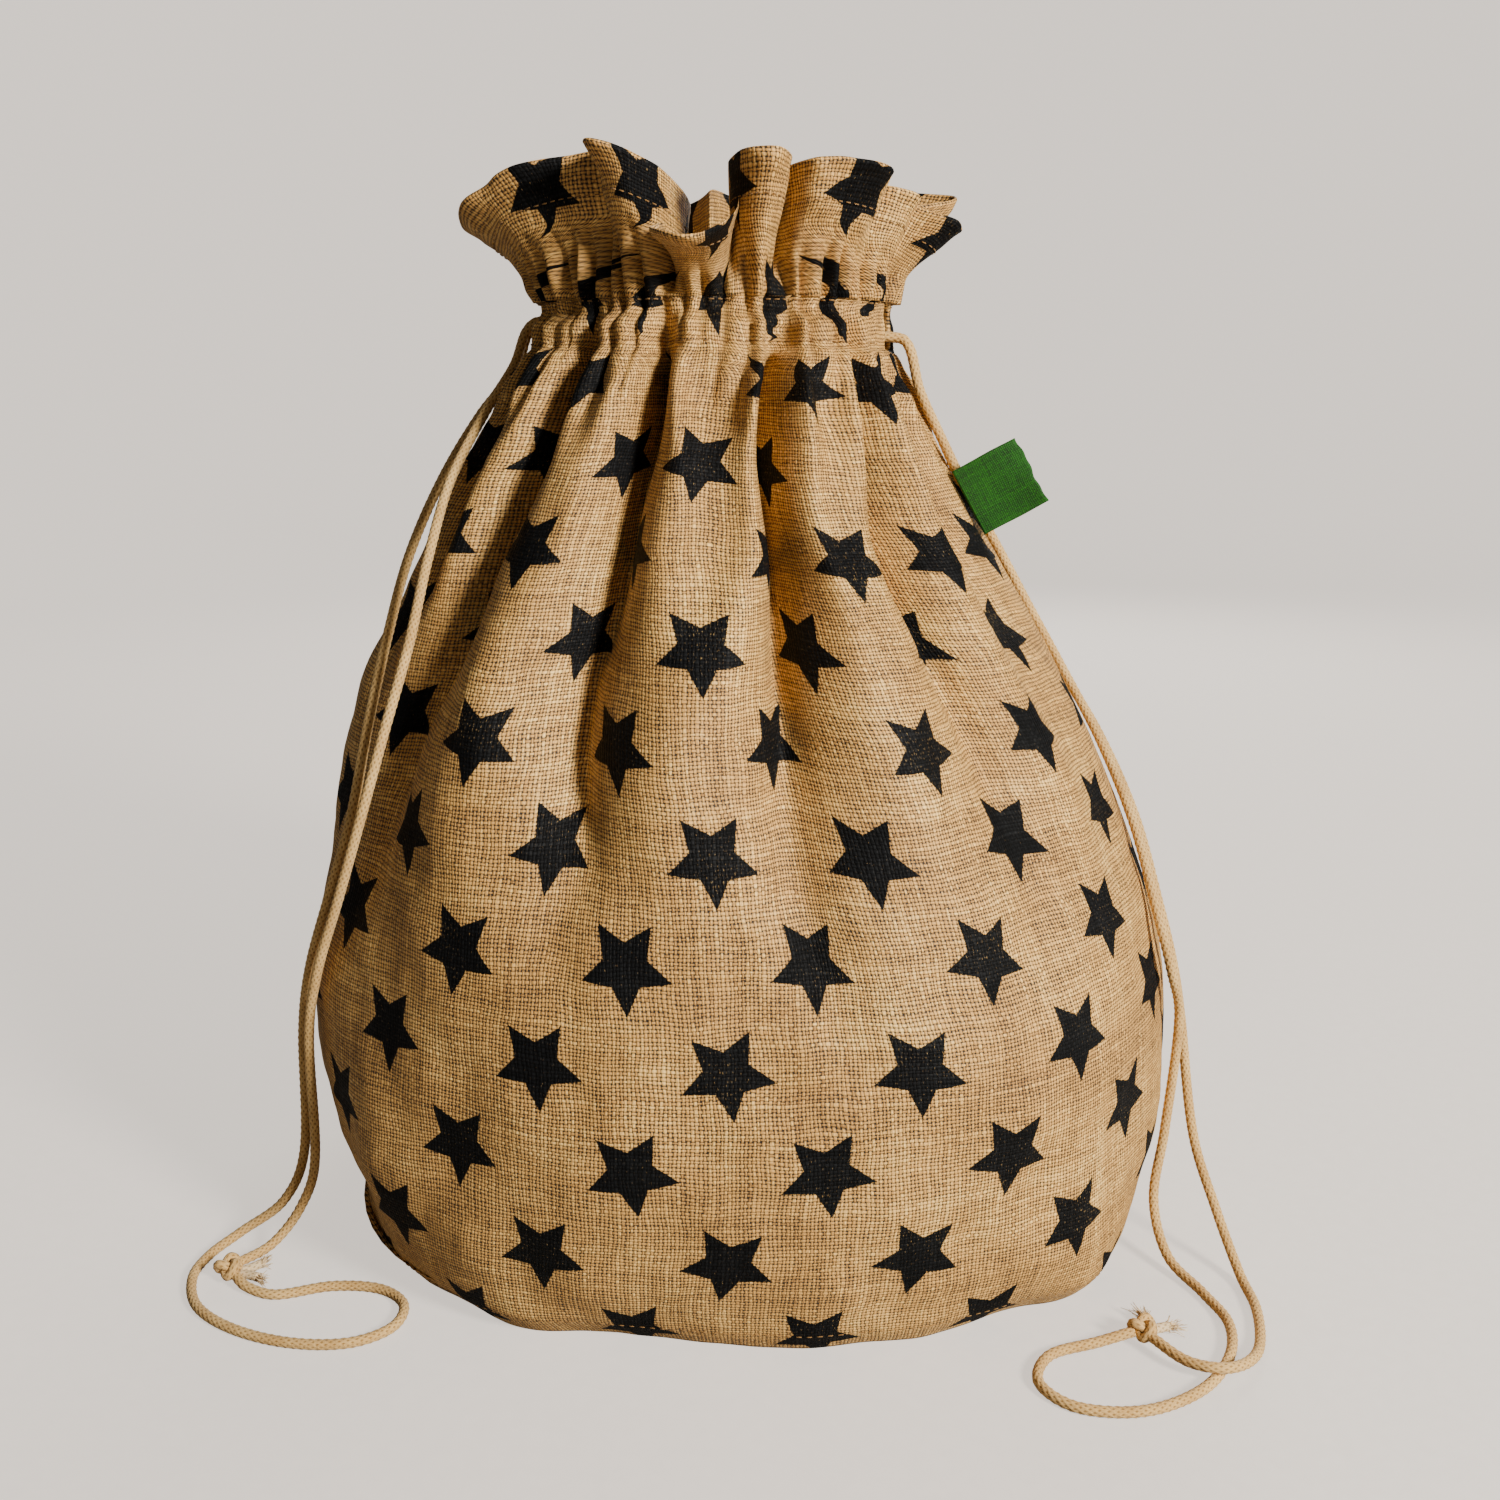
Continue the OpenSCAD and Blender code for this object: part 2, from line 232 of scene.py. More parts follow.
# ---- cords: their routes, from inside the tunnel to the knot ----
ROUTES = {
    "left_strand_short": [
        [-45, 5, 387], [-84, 5, 387], [-92, 4, 383], [-97, -4, 368], [-107, -20, 349],
        [-119, -39, 322], [-125, -62, 292], [-129, -84, 262], [-137, -100, 229],
        [-147, -105, 195], [-158, -102, 163], [-170, -96, 130], [-177, -89, 100],
        [-179, -86, 44], [-187, -84, 21], [-199, -88, 6], [-209, -102, 5.5],
    ],
    "left_strand_long": [
        [-45, 11, 387], [-84, 11, 387], [-92, 11, 383], [-98, 8, 367], [-112, -3, 348],
        [-126, -20, 322], [-137, -40, 292], [-142, -64, 262], [-146, -88, 229],
        [-152, -98, 195], [-163, -96, 163], [-175, -88, 130], [-182, -80, 100],
        [-186, -77, 44], [-197, -75, 19], [-216, -77, 5], [-225, -90, 2], [-226, -107, 2],
        [-217, -127, 2], [-198, -142, 2], [-173, -151, 2], [-150, -151, 2], [-136, -141, 2],
        [-135, -126, 2], [-147, -115, 2], [-167, -113, 2], [-188, -119, 2], [-201, -115, 3],
        [-208, -109, 5],
    ],
    "right_strand_long": [
        [25, -11, 379.5], [62, -11, 379.5], [69, -12, 376], [74, -14, 358], [83, -12, 340],
        [98, 0, 314], [113, 8, 290], [128, 10, 264], [143, 4, 237], [156, -20, 209],
        [164, -52, 181], [170, -73, 150], [177, -76, 124], [184, -68, 99], [181, -68, 48],
        [175, -79, 22], [177, -97, 6], [186, -118, 2], [190, -138, 2], [184, -159, 2],
        [168, -179, 2], [144, -191, 2], [120, -189, 2], [109, -175, 2], [116, -159, 2],
        [136, -152, 3], [150, -149, 5.5],
    ],
    "right_strand_short": [
        [25, -5, 379.5], [62, -5, 379.5], [70, -5, 376], [75, -6, 358], [84, -3, 340],
        [98, 9, 314], [112, 17, 290], [127, 19, 264], [143, 13, 237], [158, -11, 209],
        [167, -43, 181], [173, -65, 150], [180, -67, 124], [187, -60, 97], [193, -69, 47],
        [199, -87, 22], [204, -107, 4], [204, -128, 2], [198, -151, 2], [189, -166, 4.5],
        [177, -173, 6.5], [165, -167, 5.5], [155, -152, 6],
    ],
}
CORD_D = 4.0
# The braid: length of a diamond in millimetres, and half the number of diamonds round
DIAMOND, HALF_DIAMONDS = 3.2, 3
KNOTS = {"left": ((-211, -106, 6.5), 35, 12), "right": ((154, -148, 6.5), 10, 50)}


def smooth_path(route, step):
    """Points step apart on one smooth curve through a route."""
    route = np.asarray(route, float)
    at = np.concatenate([[0], np.cumsum(np.sqrt(np.linalg.norm(np.diff(route, axis=0), axis=1)))])
    table = np.column_stack([at, route])
    fine = np.linspace(0, at[-1], 40 * len(route))
    dense = np.stack([even(table, fine, k) for k in (1, 2, 3)], -1)
    far = np.concatenate([[0], np.cumsum(np.linalg.norm(np.diff(dense, axis=0), axis=1))])
    marks = np.linspace(0, far[-1], max(2, int(round(far[-1] / step)) + 1))
    return np.stack([np.interp(marks, far, dense[:, k]) for k in range(3)], -1)


def carried_frames(path):
    """Two side ways for each point of a path, carried along without twisting."""
    ahead = np.gradient(path, axis=0)
    ahead /= np.linalg.norm(ahead, axis=1)[:, None]
    side = np.empty_like(path)
    now = np.array([0.2, 1, 0.3])
    for i, t in enumerate(ahead):
        now = now - (now @ t) * t
        now /= np.linalg.norm(now)
        side[i] = now
    return side, np.cross(ahead, side)


def braided_tube(build, path, diameter, sides, relief=0.11):
    """A closed tube whose skin is a braid of six diamonds round."""
    side, up = carried_frames(path)
    far = np.concatenate([[0], np.cumsum(np.linalg.norm(np.diff(path, axis=0), axis=1))])
    turn = np.arange(sides) / sides * 2 * math.pi
    round_turn, lay = HALF_DIAMONDS * turn[None], math.pi / DIAMOND * far[:, None]
    a, b = round_turn + lay, round_turn - lay
    bulge = np.maximum(np.cos(a) ** 2 * (0.75 + 0.25 * np.cos(2 * b)), 0.8 * np.cos(b) ** 2)
    radius = diameter / 2 * (1 + relief * (2 * bulge - 1.25))
    rings = (
        path[:, None]
        + radius[..., None] * np.cos(turn)[None, :, None] * side[:, None]
        + radius[..., None] * np.sin(turn)[None, :, None] * up[:, None]
    )
    uvs = np.stack(
        [
            np.broadcast_to(turn / (2 * math.pi) * math.pi * diameter, radius.shape),
            np.broadcast_to(far[:, None], radius.shape),
        ],
        -1,
    )
    start = build.grid(rings, uvs * MM, across=True)
    last = start + (len(path) - 1) * sides
    build.faces.append([start + j for j in range(sides)][::-1])
    build.faces.append([last + j for j in range(sides)])
    return far[-1]


cords, cord_paths = {}, {}
for name, route in ROUTES.items():
    path = smooth_path(route, 0.55)
    build = Build()
    length = braided_tube(build, path, CORD_D, 24)
    cords[name] = build.piece(name.replace("strand", "cord"))
    cord_paths[name] = path, length


# ---- cloth shape: folds, gathers and hollows ----
# A main fold's valley: its turn at the neck and low down, its depth in millimetres, how wide it is
# beside the usual, and how much further up it ends, in millimetres
VALLEYS = [
    (190, 184, 11, 0.9, 15), (209, 203, 12, 0.9, 15), (230, 218, 22, 1.05, -10),
    (255, 252, 27, 1.05, -25), (289, 279, 29, 0.82, -30), (315, 310, 23, 0.9, 0),
    (335, 330, 12, 0.9, 30), (8, 11, 14, 0.9, 10), (34, 38, 20, 1.0, -10),
    (62, 57, 15, 0.9, 5), (84, 89, 23, 1.05, -20), (112, 107, 15, 0.9, 15),
    (132, 137, 21, 1.0, -10), (154, 151, 13, 0.9, 15),
]
# Height, share of a valley's depth there, and its half width in degrees
VALLEY_RUN = np.array(
    [
        [0, 0, 9], [100, 0, 9], [140, 0.07, 8.6], [175, 0.22, 7.8], [210, 0.46, 6.8],
        [245, 0.76, 5.8], [280, 1.0, 4.7], [315, 1.1, 3.7], [345, 1.08, 2.9], [360, 0.86, 2.5],
        [368, 0.42, 2.3], [374, 0.08, 2.1], [394, 0.05, 2.0],
    ],
    float,
)
RIDGES = [179, 198, 218, 239, 269, 301, 325, 342, 359, 21, 48, 73, 98, 122, 144, 161]
GATHER_COUNT = 58
GATHERS = np.sort(
    (np.arange(GATHER_COUNT) * 360 / GATHER_COUNT + draw.uniform(-2.0, 2.0, GATHER_COUNT)) % 360
)
GATHER_H = draw.uniform(2.2, 6.6, GATHER_COUNT)
GATHER_LOW = draw.uniform(334, 368, GATHER_COUNT)
# Hollows and swellings of the full body: turn, height, spread in degrees and in millimetres, out
HOLLOWS = [
    (208, 22, 20, 30, -8), (318, 6, 16, 26, 6), (268, 0, 18, 12, 2.5), (340, 95, 16, 40, -3),
    (237, 78, 8, 30, -3.5), (226, 128, 6, 26, -3.5), (247, 52, 6, 34, -2.5), (222, 62, 5, 40, 2.5),
    (301, 62, 9, 26, -2.5), (263, 190, 6, 26, -2.5), (292, 105, 12, 40, 1.5),
    (252, 150, 9, 30, 1.5),
    (40, 60, 12, 40, -3), (75, 120, 10, 35, -3), (118, 70, 14, 30, -3.5), (150, 30, 12, 20, -3),
]


def wander(turn, z):
    """Folds don't run dead straight: a small sideways drift of a turn at a height."""
    return 1.3 * np.sin(z / 31 + np.radians(turn) * 5 + 3) + 0.7 * np.sin(
        z / 13 + np.radians(turn) * 9
    )


def valley_lines(turn, z):
    """For each main fold: how far a point is from its valley, in degrees, and its depth there."""
    for high, low, depth, wide, lift in VALLEYS:
        centre = low + apart(high, low) * ease(215, 350, z)
        at = np.where(z < 330, np.minimum(z - lift, 330), z)
        fade = even(VALLEY_RUN, at, 1)
        yield apart(turn, centre), even(VALLEY_RUN, at, 2) * wide, depth * fade, fade


def gathers(turn):
    """Small gathers round the neck: their height and which one each point is on."""
    edges = np.concatenate([GATHERS, [GATHERS[0] + 360]])
    wrapped = (turn - GATHERS[0]) % 360 + GATHERS[0]
    i = np.clip(np.searchsorted(edges, wrapped, side="right") - 1, 0, len(GATHERS) - 1)
    f = (wrapped - edges[i]) / (edges[i + 1] - edges[i])
    return np.sin(np.pi * np.clip(f, 0, 1)) ** 0.62, i


def seam_nearness(turn, spread):
    near = np.exp(-((apart(turn, LEFT_SEAM) / spread) ** 2))
    return near + np.exp(-((apart(turn, RIGHT_SEAM) / spread) ** 2))


def fold_out(turn, z):
    """How far the cloth stands out of the plain form, in millimetres, and how much is tucked away
    in a fold there."""
    turn = turn + wander(turn, z) * ease(60, 300, z) * (1 - ease(350, 392, z))
    out, tucked, notch = 0 * turn, 0 * turn, 0 * turn
    for away, width, strong, fade in valley_lines(turn, z):
        narrow = np.exp(-((away / (0.6 * width)) ** 2))
        broad = np.exp(-((away / (1.7 * width)) ** 2))
        crest = np.exp(-(((np.abs(away) - 2.5 * width) / (1.5 * width)) ** 2))
        swell = 0.20 + 0.20 * np.exp(-(((z - 352) / 17) ** 2))
        out = out - strong * (0.44 * narrow + 0.56 * broad) + swell * strong * crest
        notch = np.maximum(notch, np.exp(-((away / 4.6) ** 4)))
        tucked = tucked + fade * (narrow + 0.3 * broad)
    bump, which = gathers(turn)
    high = ease(0, 1, (z - GATHER_LOW[which]) / 18)
    sides = seam_nearness(turn, 30.0)
    slim = 1 - 0.65 * sides * ease(350, 370, z)
    # Between the valleys the cloth bulges over the drawn tunnel
    over = ease(348, 372, z) * (1 - ease(382, 390, z))
    out = out + 10.0 * over * (1 - notch) * (1 - 0.9 * np.clip(sides, 0, 1))
    out = out + (GATHER_H[which] * bump * slim - TUNNEL_SINK) * high
    tucked = tucked + 1.2 * high * np.exp(-((bump / 0.45) ** 2))
    return out, tucked


def body_out(turn, z):
    out, tucked = fold_out(turn, z)
    place = on_sack(turn, z)
    low = 1 - ease(300, 360, z)
    out = out + 1.3 * low * ripple(place, 120, 12, 11) + 0.42 * low * ripple(place, 42, 18, 12)
    out = out + 0.12 * ripple(place, 15, 20, 13) * low
    for centre, height, spread, tall, by in HOLLOWS:
        near = np.exp(-((apart(turn, centre) / spread) ** 2) - ((z - height) / tall) ** 2)
        out = out + by * near
    # The lower edge is wavy where it meets the ground
    out = out + (1 - ease(0, 26, z)) * (
        1.8 * np.sin(np.radians(turn) * 9 + 1) + 1.2 * np.sin(np.radians(turn) * 16 + 2)
    )
    # The drawn cord pinches the neck to a waist
    out = out + 0.8 * ease(386, 394, z) + 1.2 * np.exp(-(((z - 371) / 4.0) ** 2))
    sides = seam_nearness(turn, 34.0)
    out = out - (1.0 + 1.5 * sides) * np.exp(-(((z - 352) / 20) ** 2))
    # The side seams hold the cloth, and stand a little proud with a groove between the panels
    held = seam_nearness(turn, 4.0)
    out = out * (1 - 0.8 * held * (1 - ease(330, 360, z)))
    out = out + 1.3 * seam_nearness(turn, 2.2) - 2.0 * seam_nearness(turn, 0.5)
    # Room for the label to flap from side to side
    aside = np.abs(apart(turn, RIGHT_SEAM))
    above = np.maximum(np.abs(z - LABEL_Z) - 18, 0)
    most = 0.3 + 1.25 * np.maximum(aside - 2.1, 0) + 0.7 * above
    out = np.minimum(out, most)
    return out, tucked


cord_tree, cord_out = None, None


# How far from a cord the cloth still feels it, and the height where the gathers take over
CORD_REACH, CORDS_END_Z = 22, 372


def press_under_cords(turn, z, out):
    """The cloth gives way under the cords that lie on it."""
    base = on_sack(turn, z).reshape(-1, 3)
    flat = out.reshape(-1).copy()
    for i, p in enumerate(base):
        if p[2] > 368 or p[1] > 60:
            continue
        _, k, far = cord_tree.find(p)
        if far > CORD_REACH:
            continue
        gap = cord_out[k]
        beside = math.sqrt(max(far * far - gap * gap, 0))
        most = gap - CORD_D / 2 - 0.45 + 0.75 * max(0, beside - 2.2)
        if flat[i] > most:
            flat[i] = most
    return flat.reshape(out.shape)


def ready_cord_tree():
    global cord_tree, cord_out
    turns, levels = np.meshgrid(np.arange(0, 360, 1.0), np.arange(2, CORDS_END_Z, 3.0))
    skin = on_sack(turns, levels).reshape(-1, 3)
    skin_tree = mathutils.kdtree.KDTree(len(skin))
    for i, p in enumerate(skin):
        skin_tree.insert(p, i)
    skin_tree.balance()
    spots = np.concatenate([path[::4] for path, _ in cord_paths.values()])
    spots = spots[spots[:, 2] < CORDS_END_Z]
    near = np.array([skin_tree.find(p)[2] for p in spots])
    keep = near < 16
    spots, cord_out = spots[keep], near[keep]
    cord_tree = mathutils.kdtree.KDTree(len(spots))
    for i, p in enumerate(spots):
        cord_tree.insert(p, i)
    cord_tree.balance()


ready_cord_tree()


def exit_slit(z):
    """Half the gap, in degrees, that the panels leave between them where a cord comes out."""
    return 7.5 * np.sqrt(np.clip(np.sin(np.pi * (z - NECK_Z + 1) / 21.0), 0, 1)) * (
        (z > NECK_Z - 1) & (z < NECK_Z + 20)
    )


def cut_u(points, tucked, turns, start):
    """Place across the flat cut, in millimetres: true along the ridges, with what is left over
    hidden in the valleys."""
    step = np.linalg.norm(np.diff(points, axis=1), axis=2)
    share = 0.5 * (tucked[:, 1:] + tucked[:, :-1]) + 0.02
    marks = [0]
    for ridge in RIDGES:
        far = (ridge - start) % 360
        if 8 < far < 172:
            marks.append(int(np.argmin(np.abs(turns - start - far))))
    marks = sorted(set(marks + [len(turns) - 1]))
    level = len(points) // 4
    along = np.concatenate([[0], np.cumsum(step[level])])
    anchor = along / along[-1] * CUT_W
    u = np.zeros(points.shape[:2])
    for a, b in zip(marks, marks[1:]):
        want = anchor[b] - anchor[a]
        have = step[:, a:b].sum(1, keepdims=True)
        spare = np.maximum(want - have, 0)
        part = share[:, a:b]
        piece = step[:, a:b] * np.minimum(1, want / have) + spare * part / part.sum(
            1, keepdims=True
        )
        u[:, a] = anchor[a]
        u[:, a + 1 : b + 1] = anchor[a] + np.cumsum(piece, 1)
    return u


CLOTH_T = 1.3
LEVELS = np.concatenate(
    [np.linspace(0, 20, 12)[:-1], np.linspace(20, 330, 118)[:-1], np.linspace(330, 394, 40)]
)
COLUMNS = 236


def panel_cloth(name, start):
    """One panel from the ground to the top of the tunnel, with the tunnel's inner strip."""
    turns = np.linspace(start, start + 180, COLUMNS)
    turn, z = np.meshgrid(turns, LEVELS)
    middle = start + 90
    turn = middle + (turn - middle) * (1 - exit_slit(z) / 90)
    out, tucked = body_out(turn, z)
    out = press_under_cords(turn, z, out)
    out = np.where(z > 374, np.maximum(out, -TUNNEL_SINK), out)
    outer, inner = on_sack(turn, z, out), on_sack(turn, z, out - CLOTH_T)
    inner[..., 2] = np.maximum(inner[..., 2], 0.0)
    u = cut_u(outer, tucked, turns, start)
    rise = np.linalg.norm(np.diff(on_sack(turn, z), axis=0), axis=2)
    v = np.concatenate([np.zeros((1, len(turns))), np.cumsum(rise, 0)])
    uvs = np.stack([u, v], -1) * MM
    build = Build()
    build.wall(outer, inner, uvs)
    # The strip inside the neck that makes the tunnel: a C in section, sewn at both edges
    strip_turns = np.linspace(start + 12, start + 168, 120)
    profile = np.array(
        [
            [-1.9, 392.6], [-4, 393.2], [-8, 393.2], [-10.2, 392], [-10.9, 389], [-11, 384],
            [-10.8, 379], [-10, 376], [-8, 374.8], [-4, 374.7], [-2.2, 375.2],
        ]
    )
    st, row = np.meshgrid(strip_turns, np.arange(len(profile)))
    crimp = 0.5 * np.cos(np.radians(st) * 44) * np.sin(np.pi * row / (len(profile) - 1))
    face = on_sack(st, profile[row, 1], profile[row, 0] + crimp)
    normal = np.gradient(profile, axis=0)
    normal = np.column_stack([normal[:, 1], -normal[:, 0]])
    normal /= np.linalg.norm(normal, axis=1)[:, None]
    back = profile + 0.9 * normal
    other = on_sack(st, back[row, 1], back[row, 0] + crimp)
    strip_v = np.concatenate([[0], np.cumsum(np.linalg.norm(np.diff(profile, axis=0), axis=1))])
    strip_uv = np.stack([(st - start) / 180 * CUT_W, strip_v[row]], -1) * MM
    build.wall(other, face, strip_uv)
    piece = build.piece(name)
    return piece, dict(u=u[-1], v=v[-1], turns=turns, turn=turn[-1], top=outer[-1])


front_cloth, front_top = panel_cloth("front_cloth", LEFT_SEAM)
back_cloth, back_top = panel_cloth("back_cloth", RIGHT_SEAM)


def base_cloth():
    """The round of cloth that the sack stands on."""
    turn, share = np.meshgrid(np.arange(0, 360, 2.0), np.linspace(1, 0.02, 26))
    out = body_out(turn, 0 * turn)[0]
    rim = on_sack(turn, 0 * turn, out - 2.2)
    top = rim * share[..., None]
    low = top.copy()
    top[..., 2] = 1.7 + 0.2 * ripple(top, 60, 8, 5)
    low[..., 2] = 0.2
    build = Build()
    uvs = top[..., :2] * MM
    loop = np.concatenate([low, top[::-1]], 0)
    build.grid(loop, np.concatenate([uvs, uvs[::-1]], 0), across=True, along=True)
    return build.piece("base_cloth")


base = base_cloth()

# ---- collar ----
# Lobes of the collar: turn, how far the top edge stands out, height of the top edge, and how
# late up the collar it leans out
LOBES = np.array(
    [
        [170, 5, 420, 1.3], [181, 10, 417, 1.2], [192, 17, 422, 1.3], [203, 20, 430, 1.3],
        [213, 15, 438, 1.3], [223, 4, 443, 1.3], [230, -4, 445, 1.2], [237, -8, 446, 1.2],
        [246, 20, 445, 1.4], [252.5, 2, 438, 1.0], [257, -42, 427, 0.8], [262, 14, 419, 1.4],
        [270.5, 14, 421, 1.6], [276, -24, 439, 1.0], [281.5, 18, 442, 1.1], [285.5, 5, 441, 1.0],
        [290, -36, 436, 0.9], [296.5, 8, 440, 1.2], [304, 15, 440, 1.5], [312, 13, 438, 1.5],
        [321, -4, 435, 1.3], [330, 8, 432, 1.5], [336, 2, 428, 1.3], [344, 19, 421, 1.6],
        [351, 9, 420, 1.4], [359, -13, 428, 1.1], [371, 20, 437, 1.5], [386, -8, 441, 1.1],
        [393, -24, 441, 1.0], [404, 21, 443, 1.3], [413, 8, 441, 1.2], [421, -28, 438, 1.0],
        [436, 24, 441, 1.6], [448, -12, 444, 1.1], [455, -26, 442, 1.0], [465, 16, 440, 1.2],
        [478, 4, 440, 1.2], [485, -25, 437, 1.0], [497, 21, 434, 1.5], [508, -16, 430, 1.0],
        [519, 12, 424, 1.3],
    ],
    float,
)


def lobe(turn, column):
    table = np.concatenate([LOBES - [360, 0, 0, 0], LOBES, LOBES + [360, 0, 0, 0]])
    return even(table, turn, column)


HEM_T = 2.6


def on_collar(turn, rise, out=0.0):
    grow = rise ** lobe(turn, 3)
    # One flap in front droops forwards
    flap = np.exp(-(((turn - 266) / 7.0) ** 2))
    lean_over = lobe(turn, 1) * grow + 17.0 * flap * ease(0.3, 0.95, rise)
    # Cloth on the flanks of a lobe crowds towards the valleys, so that ridges are broad
    crowd = 0.11 * (lobe(turn + 2, 1) - lobe(turn - 2, 1)) * grow
    small, which = gathers(turn)
    pinch = (GATHER_H[which] * small - TUNNEL_SINK) * (1 - ease(0.1, 0.7, rise))
    pinch = pinch + 4.5 * (small - 0.6) * np.exp(-(((rise - 0.2) / 0.16) ** 2))
    pinch = pinch + 0.95 * (1 - ease(0, 0.25, rise))
    placed = turn + np.clip(-crowd, -3.5, 3.5)
    x, y = section(
        placed,
        even(COLLAR, rise, 1) + out + lean_over + pinch,
        even(COLLAR, rise, 2) + out + lean_over + pinch,
        even(COLLAR, rise, 3),
        even(COLLAR, rise, 4),
    )
    top = lobe(turn, 2)
    z = TUNNEL_TOP - 0.9 + rise * (top - TUNNEL_TOP + 0.9) - 9.0 * flap * ease(0.5, 1, rise)
    place = np.stack([x, y, z], -1)
    wave = rise * (1.5 * ripple(place, 34, 14, 21) + 0.5 * ripple(place, 15, 18, 22))
    place[..., 0] += wave * np.cos(np.radians(turn))
    place[..., 1] += wave * np.sin(np.radians(turn))
    return place


def collar_cloth(name, start, under):
    turns = np.linspace(start, start + 180, 330)
    rises = np.linspace(0, 1, 34)
    turn, rise = np.meshgrid(turns, rises)
    outer = on_collar(turn, rise)
    inner = on_collar(turn, rise, -HEM_T)
    # The fold at the top edge, rounded from the outer face to the inner one
    bends = np.radians(np.linspace(0, 180, 7)[1:-1])
    edge = [
        (outer[-1] + inner[-1]) / 2
        + (outer[-1] - inner[-1]) / 2 * math.cos(a)
        + np.array([0, 0, 1]) * HEM_T / 2 * math.sin(a)
        for a in bends
    ]
    face = np.concatenate([outer, np.array(edge), inner[::-1]], 0)
    step = np.linalg.norm(np.diff(face, axis=0), axis=2)
    tall = np.median(step, axis=1)
    v = under["v"].mean() + np.concatenate([[0], np.cumsum(tall)])[:, None] + 0 * face[..., 0]
    low_u = np.interp(turns, under["turns"], under["u"])
    along = np.linalg.norm(np.diff(outer[-1], axis=0), axis=1)
    high_u = np.concatenate([[0], np.cumsum(along)])
    high_u *= CUT_W / high_u[-1]
    share = ease(0, 0.6, np.concatenate([rises, np.ones(len(bends)), rises[::-1]]))[:, None]
    u = low_u * (1 - share) + high_u * share
    build = Build()
    build.closed_loop(face, np.stack([u, v], -1) * MM)
    return build.piece(name)


front_collar = collar_cloth("front_collar_cloth", LEFT_SEAM, front_top)
back_collar = collar_cloth("back_collar_cloth", RIGHT_SEAM, back_top)


# ---- knots and frayed ends ----
def knot_piece(name, at, heading):
    """An overhand knot drawn up tight: a trefoil of cord."""
    t = np.linspace(0, 2 * math.pi, 161)[:-1]
    loop = np.stack(
        [np.sin(t) + 2 * np.sin(2 * t), np.cos(t) - 2 * np.cos(2 * t), -1.5 * np.sin(3 * t)], -1
    )
    loop *= 1.5
    a = math.radians(heading)
    turned = np.stack(
        [
            loop[:, 0] * math.cos(a) - loop[:, 1] * math.sin(a),
            loop[:, 0] * math.sin(a) + loop[:, 1] * math.cos(a),
            loop[:, 2],
        ],
        -1,
    )
    path = turned + np.array(at)
    path = np.concatenate([path, path[:1]])
    build = Build()
    braided_tube(build, path, 3.7, 20, relief=0.08)
    return build.piece(name)


def tails_piece(name, at, heading):
    """Two short cord ends with their threads coming loose."""
    dice = np.random.RandomState(int(heading) + 3)
    build = Build()
    for spread in (-15, 15):
        a = math.radians(heading + spread)
        way = np.array([math.cos(a), math.sin(a), 0])
        aside = np.array([-way[1], way[0], 0])
        root = np.array([at[0], at[1], 3.2])
        bend = np.sign(spread) * 0.6
        marks = np.linspace(4.5, 12.5, 22)
        path = root + marks[:, None] * way + (0.05 * bend * (marks - 4.5) ** 2)[:, None] * aside
        braided_tube(build, path, 3.7, 16, relief=0.1)
        tip, ahead = path[-1], path[-1] - path[-2]
        ahead /= np.linalg.norm(ahead)
        for _ in range(46):
            across, up = dice.normal(0, 0.9), dice.normal(0, 0.7)
            begin = tip - ahead * 1.2 + aside * across * 0.9 + np.array([0, 0, up * 0.9])
            begin[2] = np.clip(begin[2], 1.0, 4.8)
            long = dice.uniform(3.0, 7.2)
            f = np.linspace(0, 1, 7)[:, None]
            hair = (
                begin
                + ahead * long * f
                + aside * (across * 1.5 * f**2 + dice.normal(0, 0.35) * np.sin(5 * f))
                + np.array([0, 0, 1]) * (up * 0.9 * f**2 + dice.normal(0, 0.3) * np.sin(4 * f))
            )
            hair[:, 2] = np.clip(hair[:, 2], 0.3, None)
            side, above = carried_frames(hair)
            thin = 0.21 * (1 - 0.5 * f[:, 0])
            around = np.arange(4) * math.pi / 2
            rings = (
                hair[:, None]
                + thin[:, None, None] * np.cos(around)[None, :, None] * side[:, None]
                + thin[:, None, None] * np.sin(around)[None, :, None] * above[:, None]
            )
            uvs = np.zeros(rings.shape[:2] + (2,))
            uvs[..., 1] = f * long * MM
            start = build.grid(rings, uvs, across=True)
            build.faces.append([start + j for j in range(4)][::-1])
            build.faces.append([start + 24 + j for j in range(4)])
    return build.piece(name)


knots, tails = {}, {}
for hand, (at, knot_turn, tail_turn) in KNOTS.items():
    knots[hand] = knot_piece(hand + "_knot_cord", at, knot_turn)
    tails[hand] = tails_piece(hand + "_frayed_ends", at, tail_turn)


